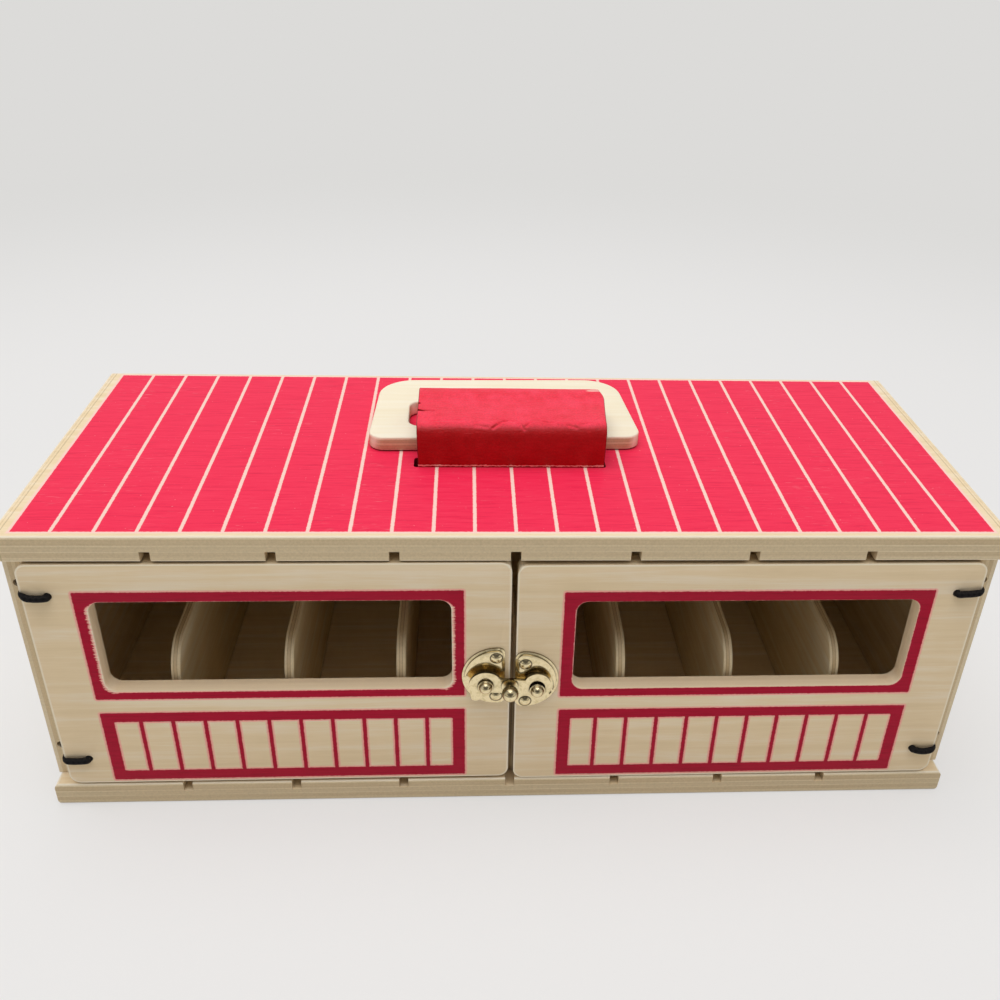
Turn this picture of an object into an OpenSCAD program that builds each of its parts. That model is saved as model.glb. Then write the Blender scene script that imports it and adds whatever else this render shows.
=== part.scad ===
// Toy barn with opening doors: a low plywood case of eight stalls behind two doors.
// Units are millimetres. X runs to the right, Y to the back, Z up.
// The origin is the centre of the underside of the base board.

/* [Case] */
// Outer width of the case, across base and roof
case_width = 321; // [290:1:400]
// Outer depth of base and roof, from the door faces to the back
case_depth = 128; // [115:1:170]
// Outer height, from the underside of the base to the top of the roof
case_height = 111.6; // [100:0.1:150]
// Thickness of the base and roof boards
board_thickness = 9.3; // [7:0.1:12]
// Rounding of the long edges of base and roof
board_edge_radius = 1; // [0.4:0.1:2]
// Rounding of the two ends of base and roof
board_end_radius = 2; // [0.5:0.1:3]
// Thickness of the two end walls
wall_thickness = 6.5; // [5:0.1:8]
// Thickness of the back panel
back_thickness = 4; // [3:0.1:8]

/* [Stalls] */
// Distance from one divider to the next
stall_pitch = 38.1; // [28:0.1:46]
// Thickness of a divider
divider_thickness = 3.2; // [2.5:0.1:5]
// Play of a divider across its dado
dado_play = 0.1; // [0.05:0.01:0.3]
// Depth of the dados in base and roof
dado_depth = 3.7; // [2:0.1:5]
// Height above the table of the low front part of a divider
divider_low_height = 61.3; // [45:0.1:75]
// Distance of a divider's front edge behind the front of the case
divider_setback = 8; // [7.5:0.1:16]
// Rounding of a divider's upper front corner
divider_nose_radius = 12.5; // [6:0.1:18]
// Length of the low front part, from the front of the case
divider_low_length = 47; // [36:0.1:60]

/* [Doors] */
// Thickness of a door
door_thickness = 6; // [5:0.1:8]
// Gap between the two doors
door_gap = 1.9; // [1:0.1:4]
// Distance of a door's outer edge inside the end of the case
door_inset = 6.15; // [5:0.05:9]
// Gap above and below a door
door_gap_high = 0.9; // [0.7:0.1:2]
// Gap between a door's back and the walls' front edges
door_back_gap = 0.3; // [0.2:0.05:1]
// Rounding of a door's corners
door_corner_radius = 3.7; // [1:0.1:8]
// How far both doors lean, rising to the right, in degrees
door_lean = 0.19; // [0:0.01:0.25]
// Width of a window
window_width = 114.6; // [80:0.1:120]
// Height of a window
window_height = 36.3; // [24:0.1:42]
// Height of a window's sill above the table
window_sill = 51; // [40:0.1:58]
// Rounding of a window's corners
window_corner_radius = 4; // [1:0.1:8]

/* [Hinge cords] */
// Diameter of a hinge cord
cord_diameter = 2.3; // [1.6:0.1:2.8]
// Play of a cord in its hole, across
cord_play = 0.4; // [0.3:0.05:0.6]
// Distance of a cord's hole from the door's outer edge
cord_hole_inset = 8.15; // [6:0.05:10]
// Distance of a cord's anchor hole from the outside of the wall
cord_anchor_inset = 3; // [2.7:0.1:3.7]
// Depth of a cord's anchor hole in the wall's front edge
cord_anchor_depth = 12; // [10:0.5:20]
// Height of the lower cords above the table
cord_low_height = 21.5; // [18:0.1:30]
// Height of the upper cords above the table
cord_high_height = 89.7; // [80:0.1:96]

/* [Handle] */
// Width of the handle plate
handle_width = 97.5; // [86:0.1:130]
// Length of the handle plate, front to back
handle_length = 52.3; // [48:0.1:70]
// Thickness of the handle plate
handle_thickness = 5.3; // [4:0.1:7]
// Play of the handle plate above the roof when it lies flat
handle_play = 0.2; // [0.1:0.05:0.5]
// Distance of the middle of the handle's front edge behind the front of the case
handle_front = 59.2; // [55:0.1:64]
// Sideways place of the handle's middle
handle_place = -1.5; // [-5:0.05:5]
// Turn of the handle plate as it lies on the roof, in degrees
handle_skew = 1.3; // [0:0.1:3]
// Width of the hand-hole
hand_hole_width = 69.9; // [68:0.1:80]
// Length of the hand-hole, front to back
hand_hole_length = 22; // [20:0.1:32]
// Depth of the handle's front bar
handle_bar_depth = 9.6; // [8:0.1:12]

/* [Strap] */
// Width of the strap
strap_width = 64.8; // [50:0.1:66]
// Thickness of the strap
strap_thickness = 1.8; // [1.2:0.1:2.4]
// Height of the strap's top above the roof
strap_rise = 15.4; // [15:0.1:24]
// Distance of the strap's front face behind the front of the case
strap_front = 46.4; // [43:0.1:48]
// Outer length of the strap's loop, front to back
strap_span = 34.1; // [32:0.1:40]
// Outer radius of the strap's bends
strap_bend_radius = 4; // [2.6:0.1:5]
// Length of the strap's two tails under the roof, from the outside of the bend
strap_tail_length = 16; // [12:0.1:16.5]
// Width of the strap's slots in the roof
slot_width = 7; // [5:0.1:8]
// Play of the strap in its slots, at each end
slot_play = 1.2; // [1.2:0.1:2.5]
// Rounding of the slots' corners
slot_corner_radius = 1; // [0.5:0.1:1]

/* [Latch] */
// Height of the latch's middle above the table
latch_height = 56; // [45:0.1:66]
// Radius of the round outline of a latch plate
latch_plate_radius = 11.6; // [9:0.1:14]
// Thickness of the latch's sheet
latch_sheet = 0.5; // [0.3:0.05:1]
// Height of the raised crescent over the sheet
latch_crescent_rise = 0.6; // [0.3:0.05:1]
// Thickness of the swing arm
latch_arm_thickness = 1.2; // [0.8:0.05:2]
// Height of the swing arm's bar
latch_arm_height = 5.5; // [4:0.1:7]
// Diameter of the ball on the swing arm
latch_ball_diameter = 5.6; // [4:0.1:8]
// Diameter of the catch post
latch_post_diameter = 5; // [3:0.1:6]
// Play of the swing arm round the catch post, on each side
latch_hook_play = 0.2; // [0.1:0.05:0.5]
// Diameter of the latch's nail heads
latch_nail_head = 4.1; // [3:0.1:5]

/* [Hidden] */
$fn = 48;
eps = 0.02;

// Planes of the case
front_y = -case_depth / 2;
back_y = case_depth / 2;
floor_z = board_thickness;
roof_z = case_height - board_thickness;
wall_y = front_y + door_thickness + door_back_gap;
wall_x = case_width / 2 - wall_thickness;
panel_y = back_y - back_thickness;
dado_floor_z = floor_z - dado_depth;
dado_top_z = roof_z + dado_depth;
dado_width = divider_thickness + dado_play;
divider_count = 7;
divider_tip_play = 0.2;

// Planes of a door
door_outer = case_width / 2 - door_inset;
door_inner = door_gap / 2;
door_width = door_outer - door_inner;
door_bottom = floor_z + door_gap_high;
door_top = roof_z - door_gap_high;
door_height = door_top - door_bottom;
door_middle_x = (door_outer + door_inner) / 2;
door_middle_z = (door_bottom + door_top) / 2;
window_middle_z = window_sill + window_height / 2;

// Places of the cords
cord_hole_x = door_outer - cord_hole_inset;
cord_anchor_x = case_width / 2 - cord_anchor_inset;
cord_hole_diameter = cord_diameter + cord_play;
door_back_y = front_y + door_thickness;
cord_near = cord_diameter / 2 + 0.05;
cord_off = cord_diameter / 2 + 0.35;
cord_pulled = 0.3 * cord_diameter;
cord_rise = 1;
// Points of a cord of the right-hand door: across, to the back, up from its hole, radius
cord_points = [
    [cord_hole_x, door_back_y + 5.0, 0, 0.8],
    [cord_hole_x, door_back_y + 4.4, 0, 1.8],
    [cord_hole_x, door_back_y + 3.2, 0, 2.4],
    [cord_hole_x, door_back_y + 1.8, 0, 2.4],
    [cord_hole_x, door_back_y + 0.8, 0, 1.8],
    [cord_hole_x, door_back_y + 0.2, 0, cord_diameter / 2],
    [cord_hole_x - 0.1, front_y - 0.2, 0, cord_diameter / 2],
    [cord_hole_x + 0.3, front_y - cord_near, -0.1, cord_diameter / 2],
    [cord_hole_x + 1.7, front_y - cord_off, -0.6, cord_diameter / 2],
    [cord_hole_x + 4.0, front_y - cord_off, -1.2, cord_diameter / 2],
    [door_outer - 1.9, front_y - cord_off, -1.0, cord_diameter / 2],
    [door_outer - 0.7, front_y - cord_near, -0.5, cord_diameter / 2 - 0.1],
    [door_outer + 0.1, front_y - 0.95, -0.1, cord_pulled],
    [door_outer + 0.7, front_y - 0.55, 0.2, cord_pulled],
    [door_outer + 0.9, front_y + 0.3, 0.4, cord_pulled],
    [door_outer + 1.0, front_y + 2.0, 0.7, cord_pulled],
    [door_outer + 1.4, front_y + 3.8, 0.9, cord_diameter / 2 - 0.1],
    [cord_anchor_x - 0.6, wall_y - 1.2, cord_rise, cord_diameter / 2],
    [cord_anchor_x, wall_y + 0.4, cord_rise, cord_diameter / 2],
    [cord_anchor_x, wall_y + 5, cord_rise, cord_diameter / 2],
    [cord_anchor_x, wall_y + 10, cord_rise, cord_diameter / 2]];
cord_sides = 8;

// Planes of the handle and its strap
handle_z = case_height + handle_play;
handle_y = front_y + handle_front;
hand_hole_shift = 0.15;
hand_hole_radius = 5;
handle_front_radius = 5.5;
handle_back_radius = 14;
handle_taper = 1.9;
strap_x = 0.2;
slot_x = strap_x - 0.5;
strap_front_y = front_y + strap_front;
strap_back_y = strap_front_y + strap_span;
strap_top_z = case_height + strap_rise;
strap_tail_z = roof_z - strap_thickness;
slot_length = strap_width + 2 * slot_play;
slot_gap = 0.1;
staple_wire = 0.9;
staple_hole = 1.0;
staple_reach = 5;
staple_span = 10;
staple_places = [-22, 22];
staple_front_y = strap_front_y + strap_tail_length - 3.5;
staple_back_y = strap_back_y - strap_tail_length + 3.5;

// Planes of the latch, measured from the front of the doors
latch_left_x = -5.5;
latch_right_x = 3.9;
latch_left_edge = -2.7;
latch_right_edge = 0.8;
latch_left_corner = 2;
latch_right_corner = 3;
latch_left_hollow = 7.2;
latch_right_hollow = 5.9;
latch_left_boss = 3.6;
latch_right_boss = 3.4;
latch_left_z = latch_height + 0.35;
latch_right_z = latch_height - 0.3;
pivot_x = -9.2;
pivot_z = latch_left_z - 1.95;
post_x = 8.2;
post_z = pivot_z - 0.85;
post_turn = atan2(post_z - pivot_z, post_x - pivot_x);
post_reach = norm([post_x - pivot_x, post_z - pivot_z]);
sheet_y = front_y - latch_sheet;
crescent_y = sheet_y - latch_crescent_rise;
nail_dome = 0.9;
arm_back_y = crescent_y - nail_dome - 0.2;
arm_front_y = arm_back_y - latch_arm_thickness;
boss_gap = 0.1;
boss_y = arm_back_y + boss_gap;
rivet_radius = 1.5;
rivet_clearance = 0.06;
arm_disc = 5.6;
arm_collar = 3.2;
arm_fillet = 3.8;
arm_fillet_play = 0.15;
arm_fillet_height = 3.7;
arm_tail = [-3.3, -4.6];
arm_tail_radius = 1.65;
hook_rise = 1.1;
hook_radius = 4.5;
rivet_head_radius = 2.55;
rivet_collar = 0.9;
post_collar = 0.6;
button_ball = 1.95;
crescent_inset = 0.9;
crescent_high = 3.6;
crescent_low = 4;
latch_reach = 40;
nail_radius = 0.8;
nail_clearance = 0.04;
nail_reach = 5;
nails_left = [[-5.6, 8.0], [-5.6, -8.6]];
nails_right = [[4.2, 7.0], [4.4, -9.3]];
knob_x = -1.1;
knob_z = pivot_z + 0.3;
knob_stem = 1.3;
knob_collar = [2.7, 0.6];
knob_peg = 1;
knob_reach = 4.4;

// A rectangle with round corners, about its middle
module round_rectangle(width, height, radius) {
    square([width - 2 * radius, height], center = true);
    square([width, height - 2 * radius], center = true);
    for (x = [-1, 1], y = [-1, 1])
        translate([x * (width / 2 - radius), y * (height / 2 - radius)])
            circle(r = radius);
}

// A flat shape drawn across and up, made thick from one plane to a plane behind it
module upright(y_front, y_back) {
    translate([0, y_back, 0])
        rotate([90, 0, 0])
            linear_extrude(height = y_back - y_front)
                children();
}

// A flat shape drawn to the back and up, made thick across
module sideways(x_left, x_right) {
    translate([x_left, 0, 0])
        rotate([90, 0, 90])
            linear_extrude(height = x_right - x_left)
                children();
}

// A low dome on the front of a plane, its axis to the front
module dome(radius, rise) {
    ball = (radius * radius + rise * rise) / (2 * rise);
    rotate([90, 0, 0])
        rotate_extrude()
            intersection() {
                translate([0, rise - ball])
                    circle(r = ball, $fn = 96);
                square([radius, rise]);
            }
}

// A round button on the front of a plane: a collar with half a ball on it
module button(radius, collar) {
    rotate([90, 0, 0])
        rotate_extrude() {
            square([radius, collar]);
            translate([0, collar - eps])
                intersection() {
                    circle(r = button_ball, $fn = 96);
                    square([button_ball, button_ball]);
                }
        }
}

// A round pin along the depth, from one plane to a plane behind it
module pin(radius, y_front, y_back) {
    translate([0, y_back, 0])
        rotate([90, 0, 0])
            cylinder(r = radius, h = y_back - y_front);
}

// A board of the case, its long edges and its two ends rounded
module board(z_low) {
    middle_z = z_low + board_thickness / 2;
    intersection() {
        sideways(-case_width / 2 - 1, case_width / 2 + 1)
            translate([0, middle_z])
                round_rectangle(case_depth, board_thickness, board_edge_radius);
        upright(front_y - 1, back_y + 1)
            translate([0, middle_z])
                round_rectangle(case_width, board_thickness, board_end_radius);
    }
}

// The dados of one board, between two heights
module dados(z_low, z_high) {
    for (i = [1 : divider_count])
        translate([divider_x(i) - dado_width / 2, front_y - 1, z_low])
            cube([dado_width, case_depth + 2, z_high - z_low]);
}

function divider_x(i) = (i - (divider_count + 1) / 2) * stall_pitch;

// One slot of the strap, its corners round
module strap_slot(y_low) {
    translate([slot_x, y_low + slot_width / 2, roof_z - 1])
        linear_extrude(height = board_thickness + 2)
            round_rectangle(slot_length, slot_width, slot_corner_radius);
}

// The holes of the staples, up from a height
module staple_holes(z_low, z_high) {
    for (x = staple_places, y = [staple_front_y, staple_back_y], s = [-1, 1])
        translate([strap_x + x + s * staple_span / 2, y, z_low])
            cylinder(d = staple_hole, h = z_high - z_low, $fn = 24);
}

// Base board with the dados that hold the dividers
module base_board() {
    color([0.85, 0.72, 0.52])
        difference() {
            board(0);
            dados(dado_floor_z, floor_z + 1);
        }
}

// Roof board with its dados, the strap's two slots and the staples' holes
module roof_board() {
    color([0.80, 0.12, 0.18])
        difference() {
            board(roof_z);
            dados(roof_z - 1, dado_top_z);
            strap_slot(strap_front_y - slot_gap);
            strap_slot(strap_back_y + slot_gap - slot_width);
            staple_holes(roof_z - 1, roof_z + staple_reach + 0.5);
        }
}

// One end wall, with the anchor holes of its two cords
module wall(side) {
    difference() {
        translate([side > 0 ? wall_x : -case_width / 2, wall_y, floor_z])
            cube([wall_thickness, back_y - wall_y, roof_z - floor_z]);
        for (z = [cord_low_height, cord_high_height])
            translate([side * cord_anchor_x, 0, z + cord_rise])
                pin(cord_hole_diameter / 2, wall_y - 1, wall_y + cord_anchor_depth);
    }
}

module wall_left() {
    color([0.84, 0.70, 0.50])
        wall(-1);
}

module wall_right() {
    color([0.84, 0.70, 0.50])
        wall(1);
}

// Back panel between the walls, the base and the roof
module back_panel() {
    color([0.82, 0.68, 0.48])
        translate([-wall_x, panel_y, floor_z])
            cube([2 * wall_x, back_thickness, roof_z - floor_z]);
}

// Outline of a divider, to the back and up: low in front, sweeping up to the roof behind
module divider_outline() {
    nose_y = front_y + divider_setback;
    low_y = front_y + divider_low_length;
    sweep = roof_z - divider_low_height;
    difference() {
        translate([nose_y, dado_floor_z])
            square([panel_y - nose_y, dado_top_z - divider_tip_play - dado_floor_z]);
        translate([nose_y - 1, divider_low_height])
            square([low_y - nose_y + 1, case_height]);
        translate([low_y, roof_z])
            circle(r = sweep, $fn = 128);
        translate([nose_y - 1, divider_low_height - divider_nose_radius])
            difference() {
                square([divider_nose_radius + 1, divider_nose_radius + 1]);
                translate([divider_nose_radius + 1, 0])
                    circle(r = divider_nose_radius, $fn = 64);
            }
    }
}

// One divider, standing in the dados of base and roof
module divider(i) {
    color([0.80, 0.64, 0.44])
        sideways(divider_x(i) - divider_thickness / 2, divider_x(i) + divider_thickness / 2)
            divider_outline();
}

module divider_1() {
    divider(1);
}

module divider_2() {
    divider(2);
}

module divider_3() {
    divider(3);
}

module divider_4() {
    divider(4);
}

module divider_5() {
    divider(5);
}

module divider_6() {
    divider(6);
}

module divider_7() {
    divider(7);
}

// What sits on a door leans with it, about the middle of the door's outer edge
module on_door(side) {
    translate([side * door_outer, 0, door_middle_z])
        rotate([0, -door_lean, 0])
            translate([-side * door_outer, 0, -door_middle_z])
                children();
}

// One door with its window, the holes of its cords and of its latch's nails
module door(side, nails, nails_z) {
    on_door(side)
        difference() {
            upright(front_y, door_back_y)
                difference() {
                    translate([side * door_middle_x, door_middle_z])
                        round_rectangle(door_width, door_height, door_corner_radius);
                    translate([side * door_middle_x, window_middle_z])
                        round_rectangle(window_width, window_height, window_corner_radius);
                }
            for (z = [cord_low_height, cord_high_height])
                translate([side * cord_hole_x, 0, z])
                    pin(cord_hole_diameter / 2, front_y - 1, door_back_y + 1);
            for (n = nails)
                translate([n[0], 0, nails_z + n[1]])
                    pin(nail_radius + nail_clearance, front_y - 1, front_y + nail_reach + 0.3);
        }
}

module door_left() {
    color([0.84, 0.71, 0.53])
        door(-1, nails_left, latch_left_z);
}

module door_right() {
    color([0.84, 0.71, 0.53])
        door(1, nails_right, latch_right_z);
}

// The direction in which a cord runs at one of its points
function cord_way(i) =
    let (a = cord_points[max(i - 1, 0)], b = cord_points[min(i + 1, len(cord_points) - 1)],
        v = [b[0] - a[0], b[1] - a[1], b[2] - a[2]])
    v / norm(v);

// One corner of the ring round a point of a cord
function cord_corner(i, k) =
    let (c = cord_points[i], w = cord_way(i), u = cross(w, [0, 0, 1]), n = u / norm(u),
        m = cross(w, n), a = 360 * (k + 0.5) / cord_sides)
    [c[0], c[1], c[2]] + c[3] * (cos(a) * n + sin(a) * m);

// A cord of the right-hand door: knot, run over the door's face, end in the wall
module cord() {
    rings = len(cord_points);
    corners = [for (i = [0 : rings - 1], k = [0 : cord_sides - 1]) cord_corner(i, k)];
    sides = [for (i = [0 : rings - 2], k = [0 : cord_sides - 1], t = [0, 1])
        let (a = i * cord_sides + k, b = i * cord_sides + (k + 1) % cord_sides)
        t == 0 ? [a, b, b + cord_sides] : [a, b + cord_sides, a + cord_sides]];
    start = [[for (k = [cord_sides - 1 : -1 : 0]) k]];
    finish = [[for (k = [0 : cord_sides - 1]) (rings - 1) * cord_sides + k]];
    polyhedron(points = corners, faces = concat(sides, start, finish), convexity = 6);
}

module hinge_cord_left_top() {
    color([0.08, 0.08, 0.08])
        mirror([1, 0, 0])
            translate([0, 0, cord_high_height])
                cord();
}

module hinge_cord_left_bottom() {
    color([0.08, 0.08, 0.08])
        mirror([1, 0, 0])
            translate([0, 0, cord_low_height])
                cord();
}

module hinge_cord_right_top() {
    color([0.08, 0.08, 0.08])
        translate([0, 0, cord_high_height])
            cord();
}

module hinge_cord_right_bottom() {
    color([0.08, 0.08, 0.08])
        translate([0, 0, cord_low_height])
            cord();
}

// Turn of the line that touches the outsides of two circles on its left
function side_turn(near, far, near_radius, far_radius) =
    let (way = far - near)
    atan2(way[1], way[0]) - acos((near_radius - far_radius) / norm(way));

// Outline of the handle plate, from the middle of its front edge: narrower to the back
module handle_outline() {
    front = [handle_width / 2 - handle_front_radius, handle_front_radius];
    back = [handle_width / 2 - handle_taper - handle_back_radius, handle_length - handle_back_radius];
    turn = side_turn(front, back, handle_front_radius, handle_back_radius);
    outward = [cos(turn), sin(turn)];
    for (s = [-1, 1])
        scale([s, 1]) {
            polygon([[-1, 0], [front[0], 0], front + handle_front_radius * outward,
                back + handle_back_radius * outward, [back[0], handle_length], [-1, handle_length]]);
            translate(front)
                circle(r = handle_front_radius);
            translate(back)
                circle(r = handle_back_radius, $fn = 96);
        }
}

// Loose plate that lies on the roof and is the handle when it stands up
module handle_plate() {
    color([0.93, 0.86, 0.70])
        translate([handle_place, handle_y, handle_z])
            rotate([0, 0, handle_skew])
                linear_extrude(height = handle_thickness)
                    difference() {
                        handle_outline();
                        translate([hand_hole_shift, handle_bar_depth + hand_hole_length / 2])
                            round_rectangle(hand_hole_width, hand_hole_length, hand_hole_radius);
                    }
}

// A quarter of a bend of the strap: cy and cz say which quarter
module strap_bend(y, z, cy, cz) {
    translate([y, z])
        intersection() {
            difference() {
                circle(r = strap_bend_radius);
                circle(r = strap_bend_radius - strap_thickness);
            }
            translate([cy < 0 ? -strap_bend_radius : 0, cz < 0 ? -strap_bend_radius : 0])
                square([strap_bend_radius, strap_bend_radius]);
        }
}

// Strap over the handle's front bar, both tails turned in under the roof
module handle_strap() {
    bend = strap_bend_radius;
    low = strap_tail_z + bend;
    high = strap_top_z - bend;
    color([0.85, 0.05, 0.12])
        difference() {
            sideways(strap_x - strap_width / 2, strap_x + strap_width / 2) {
                translate([strap_front_y, low])
                    square([strap_thickness, high - low]);
                translate([strap_back_y - strap_thickness, low])
                    square([strap_thickness, high - low]);
                translate([strap_front_y + bend, strap_top_z - strap_thickness])
                    square([strap_span - 2 * bend, strap_thickness]);
                translate([strap_front_y + bend, strap_tail_z])
                    square([strap_tail_length - bend, strap_thickness]);
                translate([strap_back_y - strap_tail_length, strap_tail_z])
                    square([strap_tail_length - bend, strap_thickness]);
                strap_bend(strap_front_y + bend, high, -1, 1);
                strap_bend(strap_back_y - bend, high, 1, 1);
                strap_bend(strap_front_y + bend, low, -1, -1);
                strap_bend(strap_back_y - bend, low, 1, -1);
            }
            staple_holes(strap_tail_z - 1, roof_z + 0.1);
        }
}

// Staples that hold the strap's tails to the underside of the roof
module strap_staples() {
    crown_z = strap_tail_z - staple_wire;
    color([0.70, 0.70, 0.72])
        for (x = staple_places, y = [staple_front_y, staple_back_y])
            translate([strap_x + x, y, 0]) {
                translate([-staple_span / 2 - staple_wire / 2, -staple_wire / 2, crown_z])
                    cube([staple_span + staple_wire, staple_wire, staple_wire]);
                for (s = [-1, 1])
                    translate([s * staple_span / 2, 0, crown_z + staple_wire / 2])
                        cylinder(d = staple_wire, h = strap_thickness + staple_reach, $fn = 24);
            }
}

// Outline of a latch plate: part of a disc with a straight edge beside the gap of the doors
module latch_outline(side, x, z, edge, corner, inset) {
    radius = latch_plate_radius - inset;
    round_off = corner - inset;
    straight_x = edge + side * inset;
    corner_x = edge + side * corner;
    corner_up = sqrt(pow(latch_plate_radius - corner, 2) - pow(corner_x - x, 2));
    intersection() {
        translate([x, z])
            circle(r = radius, $fn = 128);
        union() {
            translate([side > 0 ? straight_x : straight_x - latch_reach, z - corner_up])
                square([latch_reach, 2 * corner_up]);
            translate([side > 0 ? corner_x : corner_x - latch_reach, z - latch_reach / 2])
                square([latch_reach, latch_reach]);
            for (s = [-1, 1])
                translate([corner_x, z + s * corner_up])
                    circle(r = round_off);
        }
    }
}

// Raised crescent of a latch plate, inside its rim and round the place where the arm lies
module latch_crescent(side, x, z, edge, corner, round_x, round_z, round_r) {
    difference() {
        latch_outline(side, x, z, edge, corner, crescent_inset);
        translate([round_x, round_z])
            circle(r = round_r, $fn = 96);
        translate([side > 0 ? round_x - latch_reach : round_x, round_z - latch_reach])
            square([latch_reach, latch_reach + crescent_high]);
        translate([-latch_reach, round_z - latch_reach - crescent_low])
            square([2 * latch_reach, latch_reach]);
    }
}

// One latch plate: sheet, raised crescent, boss under the arm, nail holes
module latch_plate(side, x, z, edge, corner, boss_x, boss_z, round_r, nails, boss_r) {
    on_door(side)
        difference() {
            union() {
                upright(sheet_y, front_y)
                    latch_outline(side, x, z, edge, corner, 0);
                upright(crescent_y, sheet_y + eps)
                    latch_crescent(side, x, z, edge, corner, boss_x, boss_z, round_r);
                translate([boss_x, 0, boss_z])
                    pin(boss_r, boss_y, sheet_y + eps);
            }
            for (n = nails)
                translate([n[0], 0, z + n[1]])
                    pin(nail_radius + nail_clearance, boss_y - 2, front_y + 1);
            translate([boss_x, 0, boss_z])
                pin(rivet_radius + 0.02, boss_y - 1, front_y + 1);
        }
}

module latch_plate_left() {
    color([0.85, 0.80, 0.58])
        latch_plate(-1, latch_left_x, latch_left_z, latch_left_edge, latch_left_corner,
            pivot_x, pivot_z, latch_left_hollow, nails_left, latch_left_boss);
}

module latch_plate_right() {
    color([0.85, 0.80, 0.58])
        latch_plate(1, latch_right_x, latch_right_z, latch_right_edge, latch_right_corner,
            post_x, post_z, latch_right_hollow, nails_right, latch_right_boss);
}

// Outline of the swing arm: disc at the pivot, bar, tail lobe and hook end
module arm_outline() {
    half = latch_arm_height / 2;
    fillet_z = half + arm_fillet;
    fillet_x = sqrt(pow(arm_disc + arm_fillet - arm_fillet_play, 2) - pow(fillet_z, 2));
    translate([pivot_x, pivot_z]) {
        intersection() {
            circle(r = arm_disc, $fn = 96);
            translate([-arm_disc, -half])
                square([2 * arm_disc, 2 * arm_disc]);
        }
        circle(r = arm_collar);
        rotate([0, 0, post_turn]) {
            translate([0, -half])
                square([post_reach, latch_arm_height]);
            difference() {
                square([fillet_x, arm_fillet_height]);
                translate([fillet_x, fillet_z])
                    circle(r = arm_fillet);
            }
        }
        polygon([[0.2 - arm_disc, -1], [arm_tail[0] - arm_tail_radius, arm_tail[1]],
            [arm_tail[0] + arm_tail_radius, arm_tail[1]], [arm_tail[0] + arm_tail_radius, 0]]);
        translate(arm_tail)
            circle(r = arm_tail_radius);
    }
    translate([post_x, post_z + hook_rise])
        circle(r = hook_radius, $fn = 96);
}

// Path of the catch post through the hook: a band round the pivot, open downward
module hook_slot() {
    slot = latch_post_diameter / 2 + latch_hook_play;
    translate([pivot_x, pivot_z])
        intersection() {
            difference() {
                circle(r = post_reach + slot, $fn = 128);
                circle(r = post_reach - slot, $fn = 128);
            }
            rotate([0, 0, post_turn])
                polygon([[0, 0], [latch_reach, 0], [latch_reach, -24], [20, -24]]);
        }
    translate([post_x, post_z])
        circle(r = slot);
}

// Swing arm that turns on the pivot rivet and hooks over the catch post
module latch_arm() {
    color([0.88, 0.83, 0.62])
        on_door(-1)
            difference() {
                upright(arm_front_y, arm_back_y)
                    difference() {
                        arm_outline();
                        hook_slot();
                    }
                translate([pivot_x, 0, pivot_z])
                    pin(rivet_radius + rivet_clearance, arm_front_y - 1, arm_back_y + 1);
                translate([knob_x, 0, knob_z])
                    pin(knob_peg + 0.02, arm_front_y - 1, arm_back_y + 1);
            }
}

// Ball on a short neck, pegged into the arm
module latch_knob() {
    ball = latch_ball_diameter / 2;
    color([0.90, 0.86, 0.66])
        on_door(-1)
            translate([knob_x, arm_front_y, knob_z])
                rotate([90, 0, 0]) {
                    rotate_extrude()
                        difference() {
                            union() {
                                square([knob_stem, knob_reach]);
                                square(knob_collar);
                                translate([0, knob_reach])
                                    circle(r = ball, $fn = 64);
                            }
                            translate([-10, -10])
                                square([10, 30]);
                        }
                    translate([0, 0, -latch_arm_thickness + 0.1])
                        cylinder(r = knob_peg, h = latch_arm_thickness);
                }
}

// Rivet on which the arm turns
module latch_pivot_rivet() {
    color([0.90, 0.86, 0.66])
        on_door(-1)
            translate([pivot_x, 0, pivot_z]) {
                pin(rivet_radius, arm_front_y - 0.2, front_y);
                translate([0, arm_front_y - 0.1, 0])
                    button(rivet_head_radius, rivet_collar);
            }
}

// Post that the arm hooks over
module latch_catch_post() {
    radius = latch_post_diameter / 2;
    color([0.90, 0.86, 0.66])
        on_door(1)
            translate([post_x, 0, post_z]) {
                pin(rivet_radius, boss_y - 0.2, front_y);
                pin(radius, arm_front_y, boss_y);
                translate([0, arm_front_y + eps, 0])
                    button(radius, post_collar);
            }
}

// Round-headed nails of one latch plate: the first in the crescent, the second in the sheet
module latch_nails(side, nails, z) {
    on_door(side)
        for (k = [0, 1])
            translate([nails[k][0], k == 0 ? crescent_y : sheet_y, z + nails[k][1]]) {
                dome(latch_nail_head / 2, nail_dome);
                pin(nail_radius, -0.2, front_y + nail_reach - (k == 0 ? crescent_y : sheet_y));
            }
}

module latch_nails_left() {
    color([0.88, 0.84, 0.64])
        latch_nails(-1, nails_left, latch_left_z);
}

module latch_nails_right() {
    color([0.88, 0.84, 0.64])
        latch_nails(1, nails_right, latch_right_z);
}

base_board();
roof_board();
wall_left();
wall_right();
back_panel();
divider_1();
divider_2();
divider_3();
divider_4();
divider_5();
divider_6();
divider_7();
door_left();
door_right();
hinge_cord_left_top();
hinge_cord_left_bottom();
hinge_cord_right_top();
hinge_cord_right_bottom();
handle_plate();
handle_strap();
strap_staples();
latch_plate_left();
latch_plate_right();
latch_arm();
latch_knob();
latch_pivot_rivet();
latch_catch_post();
latch_nails_left();
latch_nails_right();
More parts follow.
